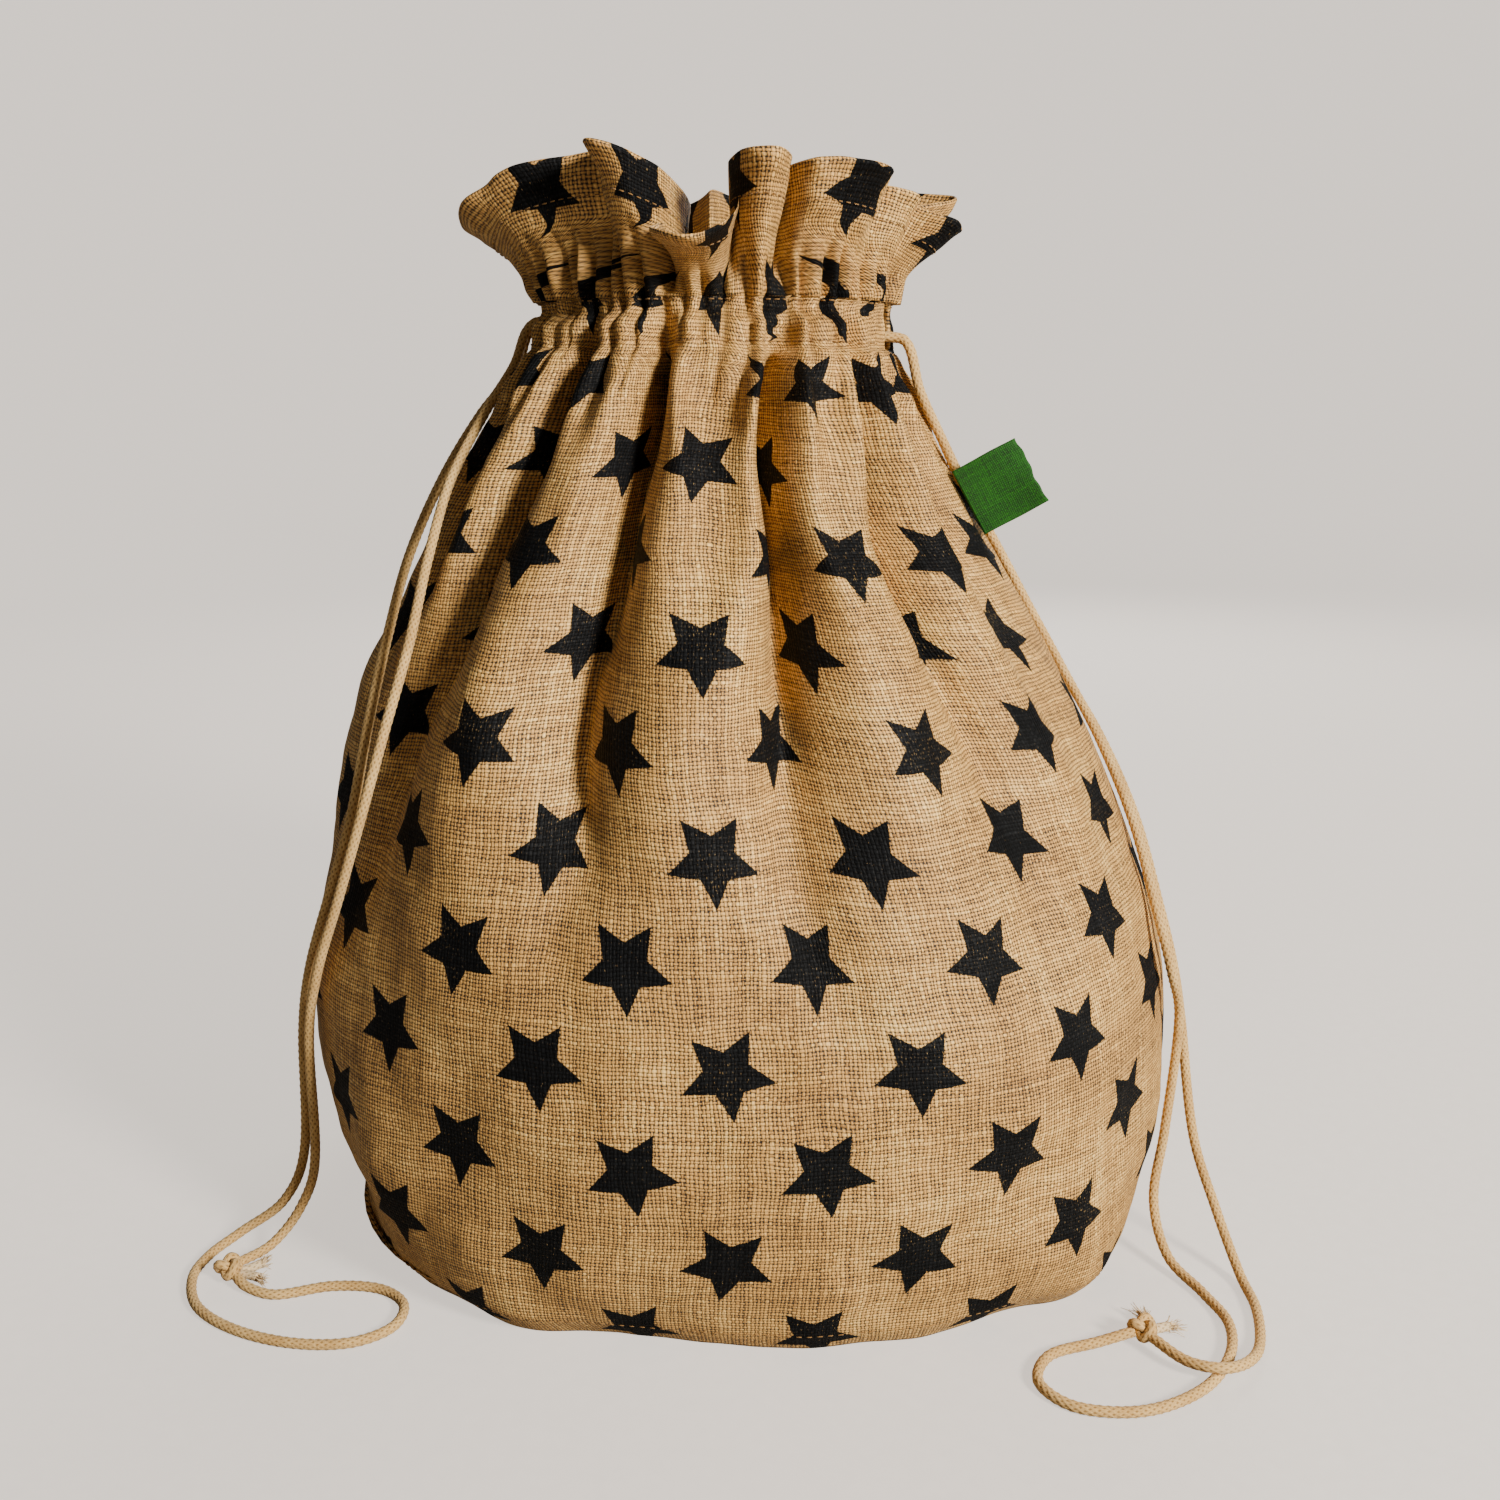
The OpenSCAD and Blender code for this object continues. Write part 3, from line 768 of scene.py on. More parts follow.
# ---- label: a woven tape folded double ----
def label_tape():
    root = on_sack(np.array(RIGHT_SEAM), np.array(LABEL_Z))
    outward = np.array([0.8613, -0.1519, 0.4848])
    across = np.array([0.1736, 0.9848, 0.0])
    along = np.array([-0.4775, 0.0842, 0.8746])
    half_gap, tape_t, fold_at = 0.3, 0.8, 30.9
    straight = np.linspace(2.5, fold_at, 30)
    bend = np.radians(np.linspace(-90, 90, 13))[1:-1]
    inner = np.concatenate(
        [
            np.column_stack([straight, -half_gap + 0 * straight]),
            np.column_stack([fold_at + half_gap * np.cos(bend), half_gap * np.sin(bend)]),
            np.column_stack([straight[::-1], half_gap + 0 * straight]),
        ]
    )
    r = half_gap + tape_t
    outer = np.concatenate(
        [
            np.column_stack([straight, -r + 0 * straight]),
            np.column_stack([fold_at + r * np.cos(bend), r * np.sin(bend)]),
            np.column_stack([straight[::-1], r + 0 * straight]),
        ]
    )
    far = np.concatenate([[0], np.cumsum(np.linalg.norm(np.diff(outer, axis=0), axis=1))])
    widths = np.linspace(-15, 15, 40)
    row, w = np.meshgrid(np.arange(len(outer)), widths, indexing="ij")

    def placed(profile):
        x, y = profile[row, 0], profile[row, 1]
        reach = x / 32
        bow = 1.1 * reach**2 * np.sin(w / 15 * 1.7 + 0.4) + 0.5 * reach * np.sin(x / 6 + w / 9)
        uneven = 0.35 * np.sin(w / 3.1) * reach**3 + 0.25 * np.sin(w / 1.3 + 1) * reach**4
        lengthen = x + uneven * (x > 20)
        edge = w * (1 - 0.012 * reach * np.sin(x / 4))
        return (
            root
            + lengthen[..., None] * outward
            + (y + bow)[..., None] * across
            + edge[..., None] * along
        )

    build = Build()
    uvs = np.stack([w, far[row]], -1) * MM
    build.wall(placed(outer), placed(inner), uvs)
    return build.piece("label_tape")


label = label_tape()


# ---- stitches ----
def one_stitch():
    """One stitch, 1 mm long and 1 mm across along X, to be drawn out and laid along a row."""
    bpy.ops.mesh.primitive_cylinder_add(
        vertices=8, radius=0.5, depth=0.8, rotation=(0, math.pi / 2, 0)
    )
    shape = bpy.context.object
    bpy.ops.object.transform_apply(location=True, rotation=True, scale=True)
    bpy.ops.object.mode_set(mode="EDIT")
    bpy.ops.mesh.select_all(action="DESELECT")
    bpy.ops.object.mode_set(mode="OBJECT")
    for face in shape.data.polygons:
        face.select = abs(face.normal.x) > 0.9
    bpy.ops.object.mode_set(mode="EDIT")
    bpy.ops.mesh.select_mode(type="FACE")
    bpy.ops.mesh.inset(thickness=0.2)
    bpy.ops.mesh.select_all(action="SELECT")
    bpy.ops.object.mode_set(mode="OBJECT")
    points = np.array([v.co[:] for v in shape.data.vertices])
    mid = np.hypot(points[:, 1], points[:, 2]) < 0.4
    points[mid, 0] = np.sign(points[mid, 0]) * 0.5
    faces = [list(f.vertices) for f in shape.data.polygons]
    bpy.data.objects.remove(shape)
    return points, faces


STITCH = one_stitch()


def stitch_row(name, line, out_way, pitch, long, thread, closed):
    """Separate stitches along a line that lies on the cloth."""
    dice = np.random.RandomState(len(line))
    if closed:
        line, out_way = np.concatenate([line, line[:1]]), np.concatenate([out_way, out_way[:1]])
    far = np.concatenate([[0], np.cumsum(np.linalg.norm(np.diff(line, axis=0), axis=1))])
    count = int(far[-1] // pitch)
    points, faces, uvs = [], [], []
    shape, shape_faces = STITCH
    for n in range(count):
        mark = (n + 0.5) * far[-1] / count
        at, before, after = (
            np.array([np.interp(m, far, line[:, k]) for k in range(3)])
            for m in (mark, max(0, mark - long / 2), min(far[-1], mark + long / 2))
        )
        up = np.array([np.interp(mark, far, out_way[:, k]) for k in range(3)])
        ahead = after - before
        ahead /= np.linalg.norm(ahead)
        up = up - (up @ ahead) * ahead
        up /= np.linalg.norm(up)
        aside = np.cross(up, ahead)
        s = long * dice.uniform(0.92, 1.05)
        dip = -0.22 * (2 * shape[:, 0]) ** 2
        placed = (
            at
            + shape[:, :1] * s * ahead
            + shape[:, 1:2] * thread * aside
            + (shape[:, 2:] * thread + dip[:, None] * thread) * up
        )
        base_at = len(points) * len(shape)
        points.append(placed)
        uvs.append(np.column_stack([shape[:, 1] * thread, mark + shape[:, 0] * s]) * MM)
        faces += [[base_at + i for i in f] for f in shape_faces]
    return new_piece(name, np.concatenate(points), faces, np.concatenate(uvs))


def row_on_sack(name, z, proud):
    turn = np.arange(0, 360, 0.5)
    out = press_under_cords(turn, z + 0 * turn, body_out(turn, z + 0 * turn)[0])
    line = on_sack(turn, z + 0 * turn, out + proud)
    way = np.column_stack([np.cos(np.radians(turn)), np.sin(np.radians(turn)), 0 * turn])
    return stitch_row(name, line, way, 4.0, 2.6, 0.5, True)


def row_on_neck(name, z, proud):
    parts = []
    for start in (LEFT_SEAM, RIGHT_SEAM):
        turn = np.linspace(start + 12, start + 168, 420)
        out = np.maximum(body_out(turn, z + 0 * turn)[0], -TUNNEL_SINK)
        line = on_sack(turn, z + 0 * turn, out + proud)
        way = np.column_stack([np.cos(np.radians(turn)), np.sin(np.radians(turn)), 0 * turn])
        parts.append(stitch_row(name + "_part", line, way, 3.6, 2.5, 0.55, False))
    bpy.ops.object.select_all(action="DESELECT")
    for part in parts:
        part.select_set(True)
    bpy.context.view_layer.objects.active = parts[0]
    bpy.ops.object.join()
    parts[0].name = name
    bpy.ops.object.select_all(action="DESELECT")
    return parts[0]


def row_on_collar(name, rise, proud):
    turn = np.arange(0, 360, 0.3)
    line = on_collar(turn, rise + 0 * turn, proud)
    way = np.column_stack([np.cos(np.radians(turn)), np.sin(np.radians(turn)), 0 * turn])
    return stitch_row(name, line, way, 3.6, 2.4, 0.5, True)


base_row = row_on_sack("base_stitches", 9.0, 0.05)
tunnel_low_row = row_on_neck("tunnel_lower_stitches", 376.0, 0.05)
tunnel_high_row = row_on_neck("tunnel_upper_stitches", 392.0, 0.05)
hem_row = row_on_collar("hem_stitches", 0.72, 0.3)


# ---- materials ----
class Net:
    """Short ways to write shader nodes."""

    def __init__(self, tree):
        self.tree = tree

    def node(self, kind, **settings):
        node = self.tree.nodes.new(kind)
        for key, value in settings.items():
            setattr(node, key, value)
        return node

    def feed(self, socket, value):
        if isinstance(value, bpy.types.NodeSocket):
            self.tree.links.new(value, socket)
        elif value is not None:
            socket.default_value = value

    def math(self, operation, *values, clamp=False):
        node = self.node("ShaderNodeMath", operation=operation, use_clamp=clamp)
        for socket, value in zip(node.inputs, values):
            self.feed(socket, value)
        return node.outputs[0]

    def add(self, a, b):
        return self.math("ADD", a, b)

    def times(self, a, b):
        return self.math("MULTIPLY", a, b)

    def less(self, a, b):
        return self.math("SUBTRACT", a, b)

    def span(self, value, a, b, c=0.0, d=1.0):
        node = self.node("ShaderNodeMapRange", interpolation_type="SMOOTHSTEP")
        for socket, number in zip(node.inputs, (value, a, b, c, d)):
            self.feed(socket, number)
        return node.outputs[0]

    def mix(self, share, a, b, how="MIX"):
        node = self.node("ShaderNodeMix", data_type="RGBA", blend_type=how)
        self.feed(node.inputs[0], share)
        self.feed(node.inputs[6], a)
        self.feed(node.inputs[7], b)
        return node.outputs[2]

    def split(self, vector):
        node = self.node("ShaderNodeSeparateXYZ")
        self.feed(node.inputs[0], vector)
        return node.outputs

    def join(self, x=0.0, y=0.0, z=0.0):
        node = self.node("ShaderNodeCombineXYZ")
        for socket, value in zip(node.inputs, (x, y, z)):
            self.feed(socket, value)
        return node.outputs[0]

    def noise(self, vector, scale, detail=2.0, rough=0.5):
        node = self.node("ShaderNodeTexNoise")
        self.feed(node.inputs["Vector"], vector)
        node.inputs["Scale"].default_value = scale
        node.inputs["Detail"].default_value = detail
        node.inputs["Roughness"].default_value = rough
        return node.outputs[0]

    def dice(self, *values):
        node = self.node("ShaderNodeTexWhiteNoise", noise_dimensions="2D")
        self.feed(node.inputs["Vector"], self.join(*values))
        return node.outputs[0]


def group(name, inputs, outputs):
    tree = bpy.data.node_groups.new(name, "ShaderNodeTree")
    for label_, kind, default in inputs:
        socket = tree.interface.new_socket(label_, in_out="INPUT", socket_type=kind)
        if default is not None:
            socket.default_value = default
    for label_, kind in outputs:
        tree.interface.new_socket(label_, in_out="OUTPUT", socket_type=kind)
    return tree, tree.nodes.new("NodeGroupInput").outputs, tree.nodes.new("NodeGroupOutput").inputs


F, V = "NodeSocketFloat", "NodeSocketVector"


def weave_group():
    """Plain weave: uneven warp and weft threads that pass over and under, with open holes."""
    tree, given, gives = group(
        "Plain weave",
        [("Place", V, None), ("Pitch", F, 0.0015), ("Thread", F, 0.415), ("Unevenness", F, 1.0)],
        [("Height", F), ("Tone", F), ("Hole", F)],
    )
    n = Net(tree)
    x, y, _ = n.split(given["Place"])
    u, v = n.math("DIVIDE", x, given["Pitch"]), n.math("DIVIDE", y, given["Pitch"])
    slow_u = n.less(n.noise(n.join(n.times(u, 0.9), n.times(v, 0.11)), 1.0, 1.0), 0.5)
    slow_v = n.less(n.noise(n.join(n.times(u, 0.11), n.times(v, 0.9), 7.0), 1.0, 1.0), 0.5)
    drift = n.less(n.noise(n.join(u, v, 3.0), 0.06, 1.0), 0.5)
    a = n.add(u, n.add(n.times(slow_u, n.times(given["Unevenness"], 0.75)), n.times(drift, 2.4)))
    b = n.add(v, n.add(n.times(slow_v, n.times(given["Unevenness"], 0.75)), n.times(drift, -2.0)))
    warp, weft = n.math("FLOOR", a), n.math("FLOOR", b)
    fa, fb = n.less(n.less(a, warp), 0.5), n.less(n.less(b, weft), 0.5)
    over = n.math("FLOORED_MODULO", n.add(warp, weft), 2.0)
    sign = n.less(n.times(over, 2.0), 1.0)
    warp_dice, weft_dice = n.dice(warp, 3.0), n.dice(weft, 11.0)
    slub_a = n.noise(n.join(n.times(warp, 3.7), n.times(b, 0.16)), 1.0, 1.0)
    slub_b = n.noise(n.join(n.times(a, 0.16), n.times(weft, 3.7), 5.0), 1.0, 1.0)

    def thread(across, phase, luck, slub, way):
        wide = n.add(given["Thread"], n.times(n.less(luck, 0.5), 0.09))
        wide = n.add(wide, n.times(n.less(slub, 0.5), 0.22))
        share = n.math("DIVIDE", across, wide)
        round_top = n.math("SUBTRACT", 1.0, n.times(share, share), clamp=True)
        arch = n.times(n.math("COSINE", n.times(phase, math.pi)), way)
        lift = n.add(0.6, n.times(arch, 0.4))
        return n.times(n.math("POWER", round_top, 0.6), lift)

    warp_h = thread(fa, fb, warp_dice, slub_a, sign)
    weft_h = thread(fb, fa, weft_dice, slub_b, n.times(sign, -1.0))
    height = n.math("MAXIMUM", warp_h, weft_h)
    is_warp = n.math("GREATER_THAN", warp_h, weft_h)
    warp_tone = n.add(0.17, n.add(n.times(warp_dice, 0.22), n.times(slub_a, 0.44)))
    weft_tone = n.add(0.17, n.add(n.times(weft_dice, 0.22), n.times(slub_b, 0.44)))
    tone = n.add(n.times(is_warp, warp_tone), n.times(n.less(1.0, is_warp), weft_tone))
    n.feed(gives["Height"], height)
    n.feed(gives["Tone"], tone)
    n.feed(gives["Hole"], n.span(height, 0.5, 0.24))
    return tree


def star_group():
    """Fat five-pointed stars, one tip down, in columns. Each second column is half a step lower."""
    tree, given, gives = group(
        "Star print",
        [
            ("Place", V, None), ("Column step", F, 0.035), ("Row step", F, 0.077),
            ("Start across", F, 0.0), ("Start along", F, 0.0), ("Radius", F, 0.0181),
        ],
        [("Ink", F)],
    )
    n = Net(tree)
    x, y, _ = n.split(given["Place"])
    ragged = n.less(n.noise(given["Place"], 1500.0, 1.0), 0.5)
    wide = n.times(given["Column step"], 2.0)

    def lattice(shift_x, shift_y):
        gx = n.less(n.less(x, given["Start across"]), n.times(given["Column step"], shift_x))
        gy = n.less(n.less(y, given["Start along"]), n.times(given["Row step"], shift_y))
        cx = n.math("ROUND", n.math("DIVIDE", gx, wide))
        cy = n.math("ROUND", n.math("DIVIDE", gy, given["Row step"]))
        px, py = n.less(gx, n.times(cx, wide)), n.less(gy, n.times(cy, given["Row step"]))
        tilt = n.times(n.less(n.dice(n.add(cx, shift_x * 0.37), cy), 0.5), 0.34)
        turn = n.add(n.math("ARCTAN2", px, n.times(py, -1.0)), tilt)
        fifth = 2 * math.pi / 5
        wedge = n.less(n.math("FLOORED_MODULO", n.add(turn, fifth / 2), fifth), fifth / 2)
        far = n.math("SQRT", n.add(n.times(px, px), n.times(py, py)))
        qx = n.times(far, n.math("COSINE", wedge))
        qy = n.times(far, n.math("ABSOLUTE", n.math("SINE", wedge)))
        notch = 0.485
        nx, ny = notch * math.cos(math.pi / 5), notch * math.sin(math.pi / 5)
        length = math.hypot(1 - nx, ny)
        # Distance inside the line from an arm's tip to the notch beside it
        inside = n.add(
            n.times(n.less(given["Radius"], qx), ny / length), n.times(qy, -(1 - nx) / length)
        )
        return inside

    inside = n.math("MAXIMUM", lattice(0.0, 0.0), lattice(1.0, 0.5))
    inside = n.add(inside, n.times(ragged, 0.0009))
    n.feed(gives["Ink"], n.span(inside, -0.00022, 0.00022))
    return tree


def fibre_group():
    """Fine loose fibre: a short streaky noise for tone and height."""
    tree, given, gives = group(
        "Loose fibre", [("Place", V, None), ("Scale", F, 900.0)], [("Streak", F), ("Fleck", F)]
    )
    n = Net(tree)
    x, y, z = n.split(given["Place"])
    long = n.join(n.times(x, 2.2), n.times(y, 0.7), z)
    node = n.node("ShaderNodeTexNoise")
    n.feed(node.inputs["Vector"], long)
    n.feed(node.inputs["Scale"], given["Scale"])
    node.inputs["Detail"].default_value = 3.0
    fleck = n.noise(given["Place"], 420.0, 2.0, 0.6)
    n.feed(gives["Streak"], node.outputs[0])
    n.feed(gives["Fleck"], n.span(fleck, 0.66, 0.78))
    return tree


WEAVE, STARS, FIBRE = weave_group(), star_group(), fibre_group()


def use_group(n, tree, **values):
    node = n.node("ShaderNodeGroup", node_tree=tree)
    for key, value in values.items():
        n.feed(node.inputs[key.replace("_", " ")], value)
    return node.outputs


def new_material(name, roughness=0.8, sheen=0.0, sheen_tint=(1, 1, 1, 1), specular=0.3):
    material = bpy.data.materials.new(name)
    material.use_nodes = True
    n = Net(material.node_tree)
    shader = next(x for x in material.node_tree.nodes if x.type == "BSDF_PRINCIPLED")
    shader.inputs["Roughness"].default_value = roughness
    shader.inputs["Specular IOR Level"].default_value = specular
    shader.inputs["Sheen Weight"].default_value = sheen
    shader.inputs["Sheen Roughness"].default_value = 0.45
    shader.inputs["Sheen Tint"].default_value = sheen_tint
    return material, n, shader


def cloth_place(n, own_cut):
    if own_cut:
        return n.node("ShaderNodeUVMap", uv_map="cut").outputs[0]
    return n.node("ShaderNodeTexCoord").outputs["Object"]


JUTE_DARK = (0.22, 0.105, 0.028, 1)
JUTE_MID = (0.53, 0.285, 0.074, 1)
JUTE_LIGHT = (0.88, 0.58, 0.19, 1)
# Painted shade: the dark of the unlit inside seen through the open holes of the weave
HOLE_SHADE = (0.045, 0.02, 0.006, 1)
INK_DARK = (0.0018, 0.0022, 0.0027, 1)
INK_LIGHT = (0.010, 0.011, 0.0125, 1)


def jute(name, own_cut=True, stars=None):
    material, n, shader = new_material(name, 0.7, 0.1, (1.0, 0.82, 0.5, 1), 0.5)
    place = cloth_place(n, own_cut)
    if not own_cut:
        x, y, z = n.split(place)
        place = n.join(n.add(x, n.times(y, 0.6)), n.add(z, n.times(y, 0.3)))
    weave = use_group(n, WEAVE, Place=place)
    fibre = use_group(n, FIBRE, Place=place)
    cloudy = n.noise(place, 22.0, 3.0)
    tone = n.add(weave["Tone"], n.times(n.less(fibre["Streak"], 0.5), 0.85))
    tone = n.add(tone, n.times(n.less(cloudy, 0.5), 0.55))
    colour = n.mix(n.span(tone, 0.12, 0.52), JUTE_DARK, JUTE_MID)
    colour = n.mix(n.span(tone, 0.48, 0.88), colour, JUTE_LIGHT)
    colour = n.mix(n.times(fibre["Fleck"], 0.3), colour, (0.78, 0.56, 0.28, 1))
    # The open holes of the weave get painted shade
    colour = n.mix(n.times(weave["Hole"], 0.9), colour, HOLE_SHADE)
    if stars:
        ink = use_group(n, STARS, Place=place, Start_across=stars[0], Start_along=stars[1])["Ink"]
        rubbed = n.span(n.add(fibre["Streak"], n.times(cloudy, 0.25)), 0.74, 0.94)
        worn = n.less(1.0, n.times(rubbed, 0.4))
        black = n.mix(n.span(tone, 0.3, 1.0), INK_DARK, INK_LIGHT)
        covered = n.times(ink, worn)
        colour = n.mix(covered, colour, black)
        n.feed(shader.inputs["Specular IOR Level"], n.span(covered, 0.0, 1.0, 0.5, 0.12))
        n.feed(shader.inputs["Sheen Weight"], n.span(covered, 0.0, 1.0, 0.1, 0.0))
    # Painted shade between the threads and painted highlight on their raised tops
    thread_shade_and_highlight = n.span(weave["Height"], 0.2, 0.97, 0.16, 1.42)
    colour = n.mix(1.0, colour, n.join(thread_shade_and_highlight, thread_shade_and_highlight, thread_shade_and_highlight), "MULTIPLY")
    n.feed(shader.inputs["Base Color"], colour)
    n.feed(shader.inputs["Roughness"], n.span(tone, 0.0, 1.0, 0.8, 0.55))
    relief = n.add(weave["Height"], n.times(fibre["Streak"], 0.25))
    bump = n.node("ShaderNodeBump")
    bump.inputs["Strength"].default_value = 0.7
    bump.inputs["Distance"].default_value = 0.0004
    n.feed(bump.inputs["Height"], relief)
    n.feed(shader.inputs["Normal"], bump.outputs[0])
    return material


def cotton(name, light, dark, own_cut=True, scale=1.0):
    """Soft twisted cotton of the cords."""
    material, n, shader = new_material(name, 0.85, 0.25, (1.0, 0.93, 0.8, 1), 0.2)
    place = cloth_place(n, own_cut)
    x, y, z = n.split(place)
    if own_cut:
        long = n.join(n.times(x, 3.0), y, z)
    else:
        long = place
    fibre = use_group(n, FIBRE, Place=long, Scale=1100.0 * scale)
    cloudy = n.noise(place, 60.0, 2.0)
    tone = n.add(n.times(fibre["Streak"], 0.75), n.times(cloudy, 0.4))
    colour = n.mix(n.span(tone, 0.38, 0.75), dark, light)
    if own_cut:
        # Two hands of the braid, with painted shade where one strand goes under another
        lay = math.pi / (DIAMOND * MM)
        across = 2 * HALF_DIAMONDS / (CORD_D * MM)
        a = n.add(n.times(x, across), n.times(y, lay))
        b = n.less(n.times(x, across), n.times(y, lay))
        ca, cb = n.math("COSINE", a), n.math("COSINE", b)
        top = n.math("MAXIMUM", n.times(ca, ca), n.times(n.times(cb, cb), 0.8))
        groove = n.span(top, 0.6, 0.1)
        groove_shade = (dark[0] * 0.45, dark[1] * 0.4, dark[2] * 0.32, 1)
        colour = n.mix(n.times(groove, 0.75), colour, groove_shade)
    n.feed(shader.inputs["Base Color"], colour)
    bump = n.node("ShaderNodeBump")
    bump.inputs["Strength"].default_value = 0.55
    bump.inputs["Distance"].default_value = 0.00025
    n.feed(bump.inputs["Height"], fibre["Streak"])
    n.feed(shader.inputs["Normal"], bump.outputs[0])
    return material


def tape_green():
    material, n, shader = new_material("Green woven tape", 0.72, 0.15, (0.7, 1.0, 0.7, 1), 0.3)
    place = cloth_place(n, True)
    weave = use_group(n, WEAVE, Place=place, Pitch=0.00085, Thread=0.5, Unevenness=0.4)
    fibre = use_group(n, FIBRE, Place=place)
    tone = n.add(n.times(weave["Tone"], 0.7), n.times(fibre["Streak"], 0.4))
    colour = n.mix(n.span(tone, 0.3, 0.8), (0.002, 0.026, 0.0006, 1), (0.008, 0.115, 0.002, 1))
    # Painted shade between the threads and painted highlight on their raised tops
    thread_shade_and_highlight = n.span(weave["Height"], 0.15, 0.8, 0.45, 1.15)
    colour = n.mix(1.0, colour, n.join(thread_shade_and_highlight, thread_shade_and_highlight, thread_shade_and_highlight), "MULTIPLY")
    n.feed(shader.inputs["Base Color"], colour)
    bump = n.node("ShaderNodeBump")
    bump.inputs["Strength"].default_value = 0.6
    bump.inputs["Distance"].default_value = 0.0003
    n.feed(bump.inputs["Height"], weave["Height"])
    n.feed(shader.inputs["Normal"], bump.outputs[0])
    return material


MATERIALS = {
    "front": jute("Printed jute, front", stars=(0.3245, 0.050)),
    "back": jute("Printed jute, back", stars=(0.301, 0.028)),
    "inside": jute("Plain jute, allowances", own_cut=False),
    "cord": cotton("Cotton cord", (0.84, 0.57, 0.23, 1), (0.50, 0.28, 0.085, 1)),
    "cord_inside": cotton(
        "Cotton cord, inside", (0.78, 0.60, 0.37, 1), (0.52, 0.35, 0.17, 1), False
    ),
    "frayed": cotton("Frayed cotton", (0.92, 0.76, 0.50, 1), (0.70, 0.50, 0.26, 1)),
    "thread": cotton(
        "Sewing thread", (0.30, 0.165, 0.055, 1), (0.17, 0.085, 0.025, 1), False, 2.0
    ),
    "label": tape_green(),
}


def finish_with(piece, key):
    piece.data.materials.clear()
    piece.data.materials.append(MATERIALS[key])


def finish_node(name, key):
    node = frame["nodes"][name]
    for holder in [node, *node.children_recursive]:
        if holder.type == "MESH":
            if not holder.material_slots:
                holder.data.materials.append(MATERIALS[key])
            for held in holder.material_slots:
                held.material = MATERIALS[key]


finish_with(front_cloth, "front")
finish_with(front_collar, "front")
finish_with(back_cloth, "back")
finish_with(back_collar, "back")
finish_with(base, "front")
finish_with(label, "label")
for cord_piece in cords.values():
    finish_with(cord_piece, "cord")
for hand in KNOTS:
    finish_with(knots[hand], "cord")
    finish_with(tails[hand], "frayed")
for row in (base_row, tunnel_low_row, tunnel_high_row, hem_row):
    finish_with(row, "thread")
for node in ("left_seam_allowance", "right_seam_allowance", "base_seam_allowance"):
    finish_node(node, "inside")
for node in ("left_seam_overlock", "right_seam_overlock"):
    finish_node(node, "thread")
for node in ("left_cord_run", "right_cord_run"):
    finish_node(node, "cord_inside")


# ---- what each piece rides on and stands for ----
def settle(piece, body, slot, *nodes):
    if body:
        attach(piece, body)
    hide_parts(*nodes)


settle(front_cloth, "sack", "printed_jute", "front_panel", "front_casing")
settle(back_cloth, "sack", "printed_jute", "back_panel", "back_casing")
settle(base, "sack", "printed_jute", "base_panel")
settle(front_collar, None, "printed_jute", "front_collar")
settle(back_collar, None, "printed_jute", "back_collar")
settle(base_row, "sack", "sewing_thread", "base_stitching")
settle(tunnel_low_row, "sack", "sewing_thread", "casing_lower_stitching")
settle(tunnel_high_row, "sack", "sewing_thread", "casing_upper_stitching")
settle(label, "label", "label_tape", "label")
for collar_piece in (front_collar, back_collar):
    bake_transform(collar_piece)
settle(hem_row, "collar", "sewing_thread", "collar_hem_stitching")
for hand in KNOTS:
    settle(knots[hand], hand + "_cord", "cotton_cord", hand + "_knot")
    settle(tails[hand], hand + "_cord", "cotton_cord", hand + "_knot_tails")
for name, cord_piece in cords.items():
    hand = name.split("_")[0]
    settle(cord_piece, hand + "_cord", "cotton_cord", name)
    path, length = cord_paths[name]
    [knots[hand], tails[hand]] if "long" in name else []


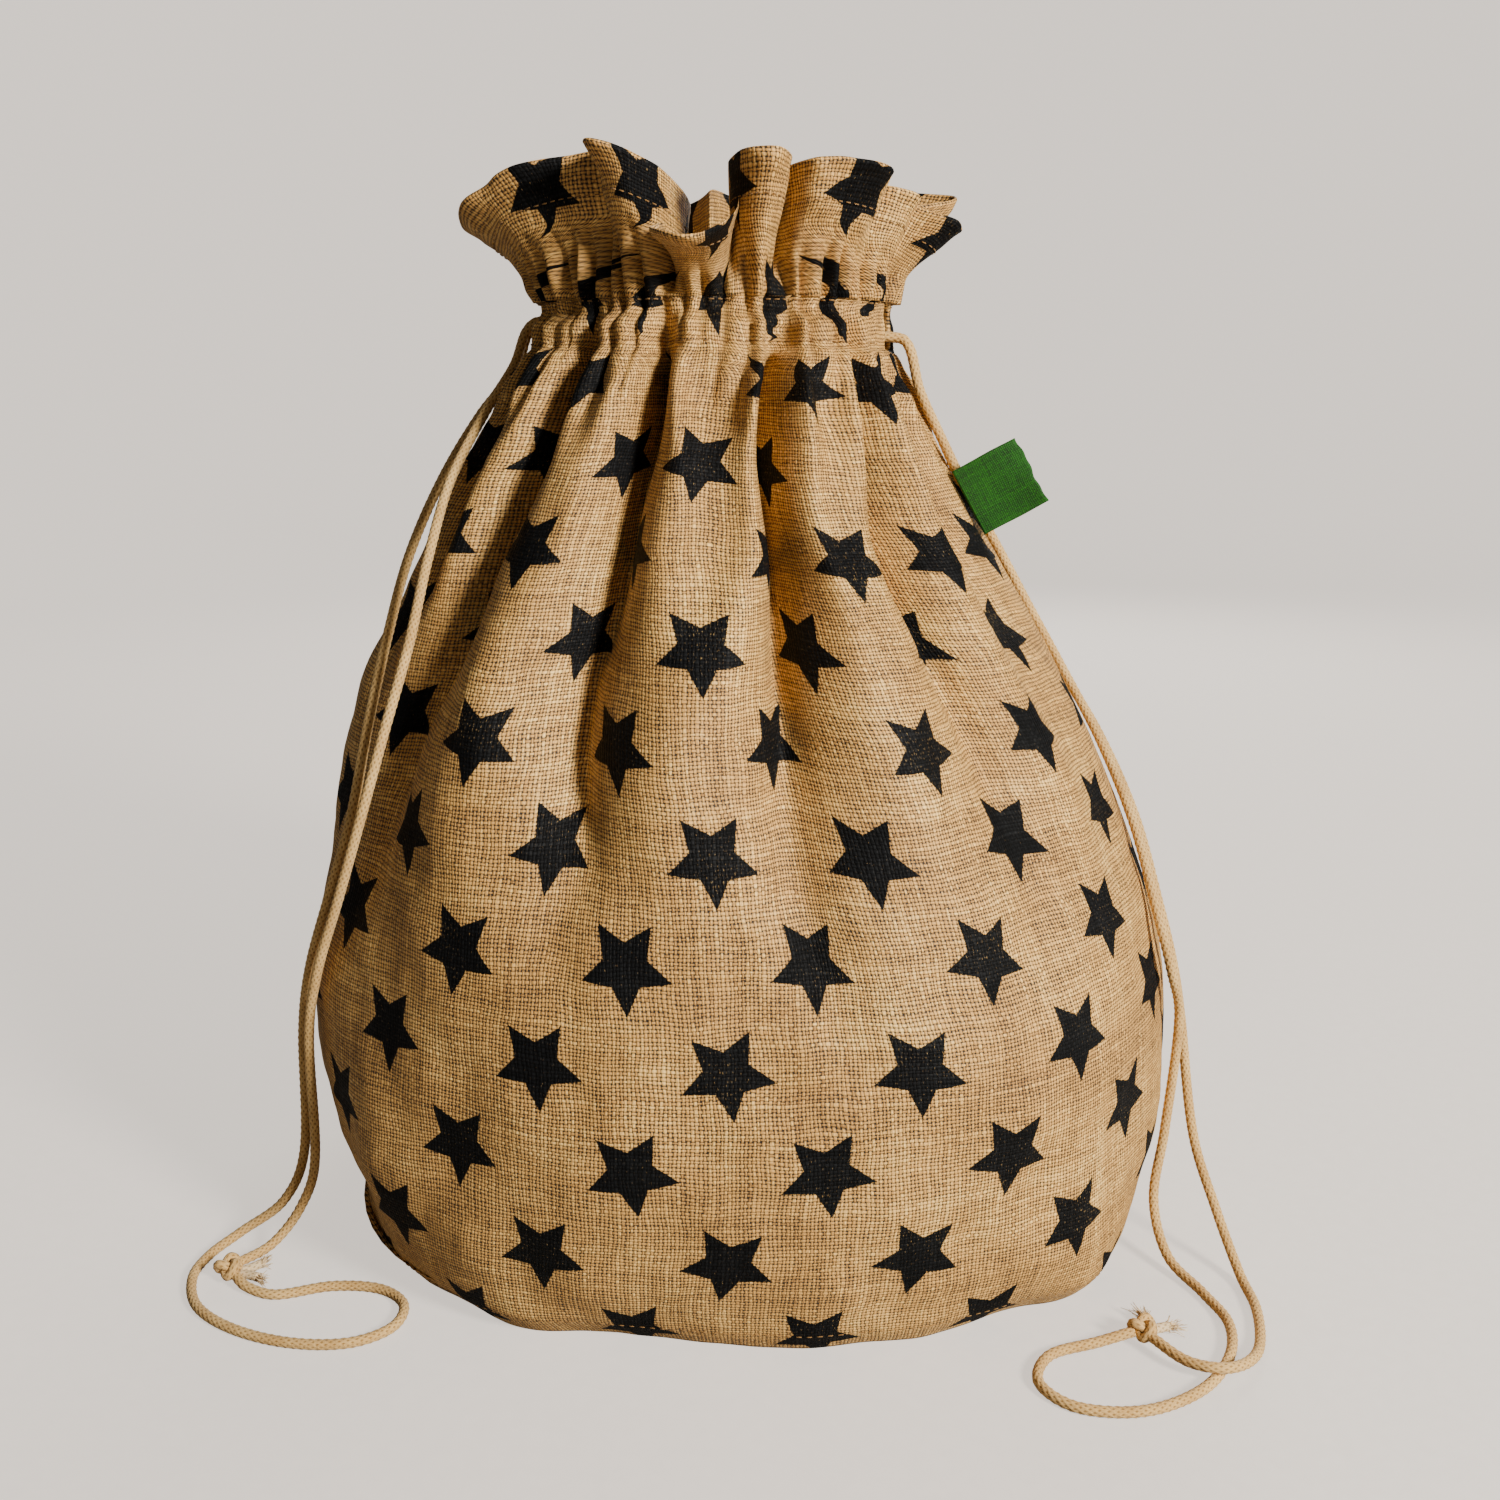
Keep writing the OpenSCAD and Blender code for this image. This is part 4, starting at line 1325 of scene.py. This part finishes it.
# ---- floor and light ----
def make_floor():
    """A pale round floor that sweeps up into a wall far from the sack."""
    profile = [(0.02, 0)] + [(0.3 * k, 0) for k in range(1, 9)]
    profile += [
        (2.4 + 1.6 * math.sin(a), 1.6 * (1 - math.cos(a)))
        for a in np.linspace(0, math.pi / 2, 20)[1:]
    ]
    profile += [(4.0, 2.4), (4.0, 3.4)]
    turn = np.arange(0, 360, 5.0)
    t, row = np.meshgrid(np.radians(turn), np.arange(len(profile)))
    shape = np.array(profile)
    points = np.stack(
        [shape[row, 0] * np.cos(t), shape[row, 0] * np.sin(t), shape[row, 1]], -1
    )
    build = Build()
    build.grid(points * 1000, points[..., :2], across=True)
    build.faces.append(list(range(len(turn)))[::-1])
    floor = build.piece("floor")
    material, n, shader = new_material("Pale floor", 0.9, specular=0.1)
    place = cloth_place(n, False)
    grain = n.noise(place, 160.0, 4.0, 0.6)
    n.feed(
        shader.inputs["Base Color"],
        n.mix(n.span(grain, 0.3, 0.7), (0.33, 0.305, 0.28, 1), (0.36, 0.335, 0.31, 1)),
    )
    # The floor shows a little brighter than it lights the sack
    x, y, _ = n.split(place)
    away = n.math("SQRT", n.add(n.times(x, x), n.times(y, y)))
    far = n.span(away, 0.3, 3.4, 1.0, 1.13)
    glow = n.node("ShaderNodeEmission")
    glow.inputs[0].default_value = (1.0, 0.905, 0.81, 1)
    n.feed(glow.inputs[1], n.times(n.node("ShaderNodeLightPath").outputs["Is Camera Ray"], far))
    both = n.node("ShaderNodeAddShader")
    n.feed(both.inputs[0], shader.outputs[0])
    n.feed(both.inputs[1], glow.outputs[0])
    out = next(x for x in material.node_tree.nodes if x.type == "OUTPUT_MATERIAL")
    n.feed(out.inputs[0], both.outputs[0])
    floor.data.materials.append(material)


def area_light(name, place, target, size, power, colour):
    lamp = bpy.data.lights.new(name, "AREA")
    lamp.shape, lamp.size, lamp.energy, lamp.color = "DISK", size, power, colour
    holder = bpy.data.objects.new(name, lamp)
    holder.location = place
    way = mathutils.Vector(target) - mathutils.Vector(place)
    holder.rotation_mode = "QUATERNION"
    holder.rotation_quaternion = way.to_track_quat("-Z", "Y")
    holder.visible_camera = False
    bpy.context.collection.objects.link(holder)


def make_light():
    area_light("key", (1.25, -1.35, 1.0), (0, 0, 0.2), 0.42, 80, (1.0, 0.94, 0.85))
    area_light("back fill", (0.4, 1.8, 1.2), (0, 0, 0.2), 1.2, 32, (1.0, 0.97, 0.94))
    world = bpy.data.worlds.new("studio")
    world.use_nodes = True
    world.node_tree.nodes["Background"].inputs[0].default_value = (1.0, 0.985, 0.965, 1)
    world.node_tree.nodes["Background"].inputs[1].default_value = 0.13
    bpy.context.scene.world = world


make_floor()
make_light()
